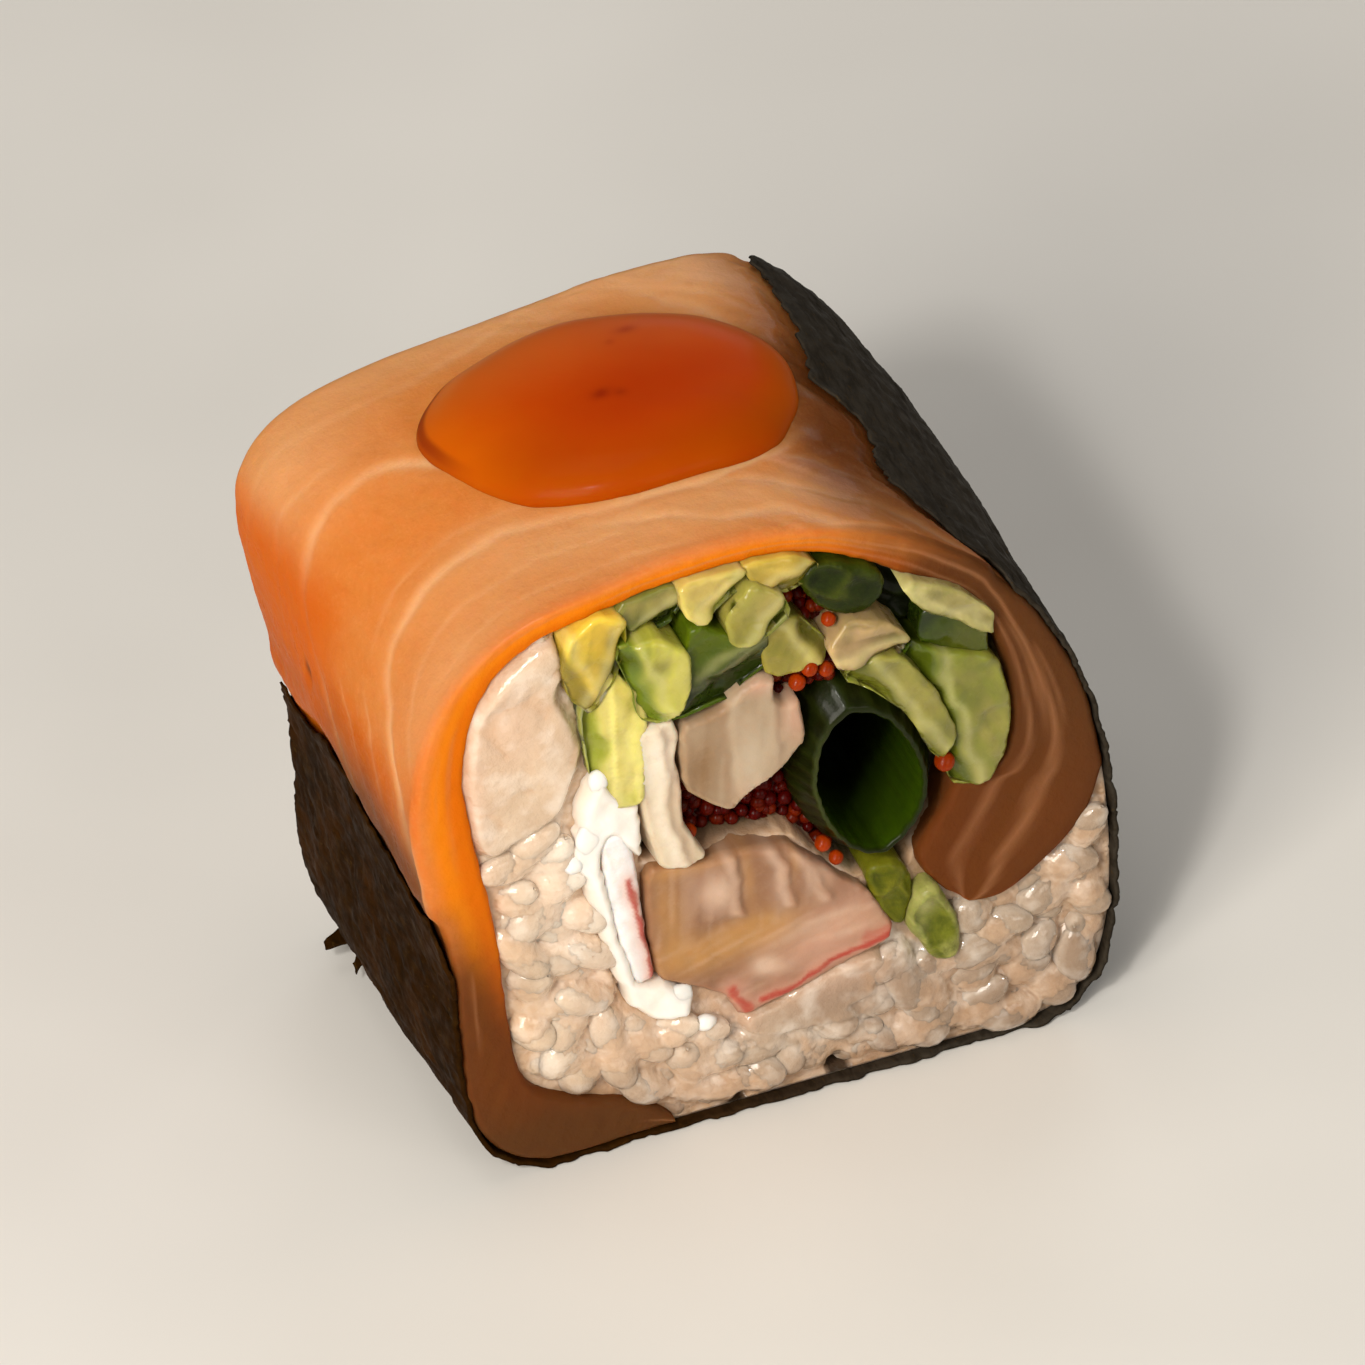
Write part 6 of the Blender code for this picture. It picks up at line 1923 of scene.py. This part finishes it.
def grain_edge(x, z, end):
    """How near each point is to the edge of the grain lying uppermost there, 0..1."""
    best = np.full(np.shape(x), -9.0)
    edge = np.zeros(np.shape(x))
    for gx, gz, length, width, thick, turn, tilt, sink, _ in GRAINS[end]:
        c, s = math.cos(turn), math.sin(turn)
        dx, dz = x - gx, z - gz
        half_l = 0.5 * max(length * math.cos(tilt), width)
        q = 1 - ((dx * c + dz * s) / half_l) ** 2 - ((-dx * s + dz * c) / (width / 2)) ** 2
        h = -sink + thick / 2 * (np.sqrt(np.maximum(0, q)) - 1)
        take = (q > 0) & (h > best)
        best = np.where(take, h, best)
        edge = np.where(take, 1 - q, edge)
    return edge


PRESSED = pressed_grains()


def rice_bed():
    s = ring.length * np.arange(460) / 460
    signed = np.where(s > ring_leave + ring.length, s - ring.length, s)
    hidden = ease(ring_leave, ring_leave + 3.0, signed) * (1 - ease(ring_start - 4.0,
                                                                    ring_start, signed))
    outline = ring.at(s, 0.34 + 0.8 * hidden)
    tube = evenly(anticlockwise(grown(catmull(SCALLION, True, 8), -0.32)), 90, True)

    def relief(x, z, d, end):
        _, froth = cells(x * 1.5, z * 1.5, 5107)
        out = fused_height(x, z, end) + 0.05 * fbm(x * 1.6, z * 1.6, end, 5101)
        out = out + 0.07 * ease(0.0, 0.45, froth)
        if end < 0:
            b = np.where(inside(x, z, BLOCK), closed_distance(x, z, BLOCK), 0)
            p = np.where(inside(x, z, PATCH), closed_distance(x, z, PATCH), 0)
            smooth_ = (0.26 + 0.42 * pressed_height(x, z) + 0.10 * fbm(x * 0.32, z * 0.32, 0, 5102)
                       + 0.02 * fbm(x * 3, z * 3, 0, 5104))
            share = np.maximum(ease(0, 0.7, b), ease(0, 0.6, p))
            out = out * (1 - share) + smooth_ * share
        gap = np.where(inside(x, z, GREENS), closed_distance(x, z, GREENS), 0)
        out = out - 2.2 * ease(0.0, 0.5, gap)
        out = out - 4.0 * ease(-0.05, -0.7, free_room(x, z))
        if end < 0:
            out = out - 1.8 * ease(0.25, 0.75, blobs(x, z, NOTCHES))
        return out * ease(0, 0.4, d) - 0.4 * (1 - ease(0, 0.4, d))

    def fields(x, z, d):
        y = np.full(np.shape(x), -1.0)
        y[len(x) // 2:] = 1.0
        out = rice_fields(x, z, y)
        out["tone"] = 0.5 + 0.5 * fbm(x * 0.6, z * 0.6, 0, 5108)
        low_ = pressed_height(x, z)
        # Painted shade in the dips between the pressed grains.
        out["dip_shade"] = ease(-0.16, -0.36, low_) * (y < 0)
        half = len(x) // 2
        sunk = np.concatenate([fused_height(x[:half], z[:half], -1),
                               fused_height(x[half:], z[half:], 1)])
        pressed = np.maximum(ease(0.2, 0.7, np.where(inside(x, z, BLOCK),
                                                     closed_distance(x, z, BLOCK), 0)),
                             ease(0.2, 0.6, np.where(inside(x, z, PATCH),
                                                     closed_distance(x, z, PATCH), 0)))
        # Painted shade in the crevices between grains.
        out["crevice_shade"] = ease(-0.40, -0.85, sunk) * (1 - pressed * (y < 0))
        # rim: painted highlight near the edge of the uppermost grain.
        near = np.concatenate([grain_edge(x[:half], z[:half], -1),
                               grain_edge(x[half:], z[half:], 1)])
        out["rim"] = np.exp(-(((near - 0.78) / 0.16) ** 2)) * (1 - pressed * (y < 0))
        # notch: the dark sheet seen in the notches, with painted shade.
        out["notch"] = ease(0.2, 0.6, blobs(x, z, NOTCHES)) * (y < 0)
        # gap: painted deep shade in the voids between the greens, the crab and the roe.
        out["gap"] = ease(0.0, 0.4, np.where(inside(x, z, GREENS),
                                             closed_distance(x, z, GREENS), 0))
        return out

    return filling("rice_bed", outline, 0.0, 0.0, relief, fields, 0.3, 0.22, 5100, 0.0, tube)


def rice_look(name, core):
    look = Finish(name, srgb(192, 164, 138))
    look.over(srgb(226, 206, 184), look.mask("tone"), 0.6)
    look.over(srgb(190, 154, 124), look.noise(0.42, 3.0, 0.5, 0.44, 0.66), 0.40)
    if core:
        # Painted shade in the crevices between grains.
        look.over(srgb(168, 124, 84), look.mask("crevice_shade"), 0.55)
    look.over(srgb(232, 204, 170), look.mask("warm"), 0.55)
    look.over(srgb(222, 178, 154), look.mask("pink"), 0.5)
    look.over(srgb(168, 154, 130), look.mask("grey"), 0.5)
    look.over(srgb(248, 238, 222), look.mask("white"), 0.6)
    # Painted shade in the gaps along the bottom.
    look.over(srgb(84, 50, 22), look.mask("under"), 0.6)
    # Painted shade towards the bottom and the lower right.
    look.over(srgb(134, 108, 86), look.mask("lower_right_shade"), 0.70)
    # Painted highlight: pale grain rims.
    look.over(srgb(244, 232, 216), look.mask("rim"), 0.30)
    # Painted highlight: pale flecks standing for glints on wet grains.
    look.over(srgb(255, 248, 238), look.noise(0.62, 2.0, 0.5, 0.48, 0.70), 0.30)
    if core:
        # Painted shade in the dips between the pressed grains.
        look.over(srgb(214, 168, 126), look.mask("dip_shade"), 0.3)
        # Painted deep shade in the voids among the fillings.
        look.over(srgb(26, 24, 6), look.mask("gap"), 0.95)
        # Notches: the dark sheet with painted shade.
        look.over(srgb(34, 22, 12), look.mask("notch"), 0.9)
    look.bump(look.noise(1.9, 3.0, 0.6, 0.2, 0.8), 0.42, 0.00016)
    look.bump(look.noise(5.0, 2.0, 0.5, 0.2, 0.8), 0.12, 0.00005)
    return look.done(rough=0.26, rough_by=look.noise(0.9, 2.0), rough_range=(0.14, 0.34),
                     flesh=0.6, radius=(0.92, 0.96, 1.0), depth=0.0011, coat=1.8,
                     coat_rough=0.07)


finish_piece(rice_bed(), rice_look("rice_bed_look", True), "rice", "rice")
finish_piece(rice_grains(), rice_look("rice_grain_look", False), "rice")


# ---------------------------------------------------------------------- sauce
def crown_height(x, y):
    """Top of the salmon over (x, y), from the contour run along the roll."""
    s = np.linspace(0, ring.length, 2600)
    p = ring.at(s)
    p = p[p[:, 1] > 20]
    flat_x, flat_y = np.asarray(x).ravel(), np.asarray(y).ravel()
    out = np.zeros(len(flat_x))
    for i in range(0, len(flat_x), 256):
        t = flat_y[i:i + 256, None] / HALF_LENGTH
        spots = place(p[None, :, 0], t, p[None, :, 1])
        k = np.argmin(np.abs(spots[..., 0] - flat_x[i:i + 256, None]), 1)
        out[i:i + 256] = spots[np.arange(len(k)), k, 2]
    return out.reshape(np.shape(x))


def sauce():
    spokes, rings_ = 190, 46
    turn = np.linspace(0, 2 * np.pi, spokes, endpoint=False)
    share = np.sin(np.linspace(0, np.pi / 2, rings_ + 1))
    A, R = np.meshgrid(turn, share[1:], indexing="xy")
    wobble = (1 + 0.03 * np.sin(3 * A + 0.5) + 0.02 * np.sin(5 * A)
              + 0.008 * noise(np.cos(A) * 4, np.sin(A) * 4, 0, 1001))
    x = SAUCE_X + SAUCE_RX * R * wobble * np.cos(A)
    y = SAUCE_Y + SAUCE_RY * R * wobble * np.sin(A)
    y = y + SAUCE_TURN * (x - SAUCE_X)
    x = np.concatenate([[SAUCE_X], x.ravel()])
    y = np.concatenate([[SAUCE_Y], y.ravel()])
    R = np.concatenate([[0.0], R.ravel()])
    A = np.concatenate([[0.0], A.ravel()])
    floor_ = crown_height(x, y)
    # Rounded shoulder at the rim, a nearly level top.
    height = SAUCE_H * (0.86 * (1 - R**6) ** 0.5 + 0.14 * (1 - R**2))
    height = height + 0.05 * fbm(x * 0.2, y * 0.2, 0, 1002) * (1 - R**4)
    level = floor_.copy()
    # The pool's floor is left as the salmon's top, its curve unchanged.
    level = level + 0.0
    over = np.stack([x, y, level + height], 1)
    under = np.stack([x, y, floor_ - 0.35 - 0.0 * R], 1)
    n = len(x)
    points = np.concatenate([over, under])
    idx = 1 + np.arange(rings_ * spokes).reshape(rings_, spokes)
    nxt = np.roll(idx, -1, 1)
    quads = np.stack([idx[:-1], idx[1:], nxt[1:], nxt[:-1]], -1).reshape(-1, 4)
    fan = np.stack([np.zeros(spokes, int), idx[0], nxt[0]], -1)
    rim = np.stack([idx[-1], idx[-1] + n, nxt[-1] + n, nxt[-1]], -1)
    polygons = [quads, quads[:, ::-1] + n, rim, fan, fan[:, ::-1] + n]
    far = ease(0.2, 0.9, np.sin(A))
    fields = {
        "thin": np.tile(ease(0.72, 1.0, R), 2),
        "beyond": np.tile(ease(-0.1, 0.9, np.sin(A) * R), 2),
        "near": np.tile(ease(0.1, 0.9, -np.sin(A)) * ease(0.4, 0.9, R), 2),
        # left: painted light on the left part of the pool, towards the rim
        "left": np.tile(ease(0.0, 1.0, -np.cos(A)) * ease(0.3, 1.0, R), 2),
        # a paler pink band near the far rim: painted reflection
        "far_reflection": np.tile(far * np.exp(-(((R - 0.90) / 0.055) ** 2)), 2),
        "far_line": np.tile(ease(-0.1, 0.5, np.sin(A - 0.35)) * ease(0.940, 0.970, R)
                            * (1 - 0.5 * ease(0.985, 1.0, R)), 2),
        "speck": np.tile(np.clip(blobs(x, y, [(-3.4, -0.5, 0.55, 0.4, 0.9),
                                              (-2.4, -0.9, 0.35, 0.3, 0.6),
                                              (0.1, 4.1, 0.6, 0.35, 0.7),
                                              (-1.2, 3.4, 0.3, 0.25, 0.4)]), 0, 1), 2),
        "core": np.tile(np.clip(blobs(x, y, [(-0.5, -1.0, 6.0, 3.5, 0.8)]), 0, 1), 2),
    }
    return mesh_object("sauce_pool", points, face_out(points, polygons), fields)


look = Finish("sauce_look", srgb(188, 68, 4))
look.over(srgb(164, 44, 1), look.mask("core"), 0.85)
look.over(srgb(178, 82, 4), look.mask("thin"), 0.75)
# Painted light: the left side of the pool lighter.
look.over(srgb(196, 92, 4), look.mask("left"), 0.6)
look.over(srgb(192, 100, 40), look.mask("beyond"), 0.55)
look.over(srgb(158, 62, 0), look.mask("near"), 0.65)
# Painted reflection along the far rim.
look.over(srgb(206, 120, 60), look.mask("far_reflection"), 0.6)
look.over(srgb(120, 40, 8), look.mask("far_line"), 0.8)
look.over(srgb(120, 22, 4), look.mask("speck"), 0.8)
look.over(srgb(160, 44, 2), look.noise(0.18, 2.0, 0.5, 0.4, 0.7), 0.25)
look.bump(look.noise(0.4, 2.0, 0.4, 0.2, 0.8), 0.06, 0.0001)
finish_piece(sauce(), look.done(rough=0.40, flesh=0.4, radius=(1.0, 0.25, 0.04), depth=0.0012,
                                coat=0.05, coat_rough=0.16, specular=0.06, ior=1.22),
             "sauce", "sauce_dollop")
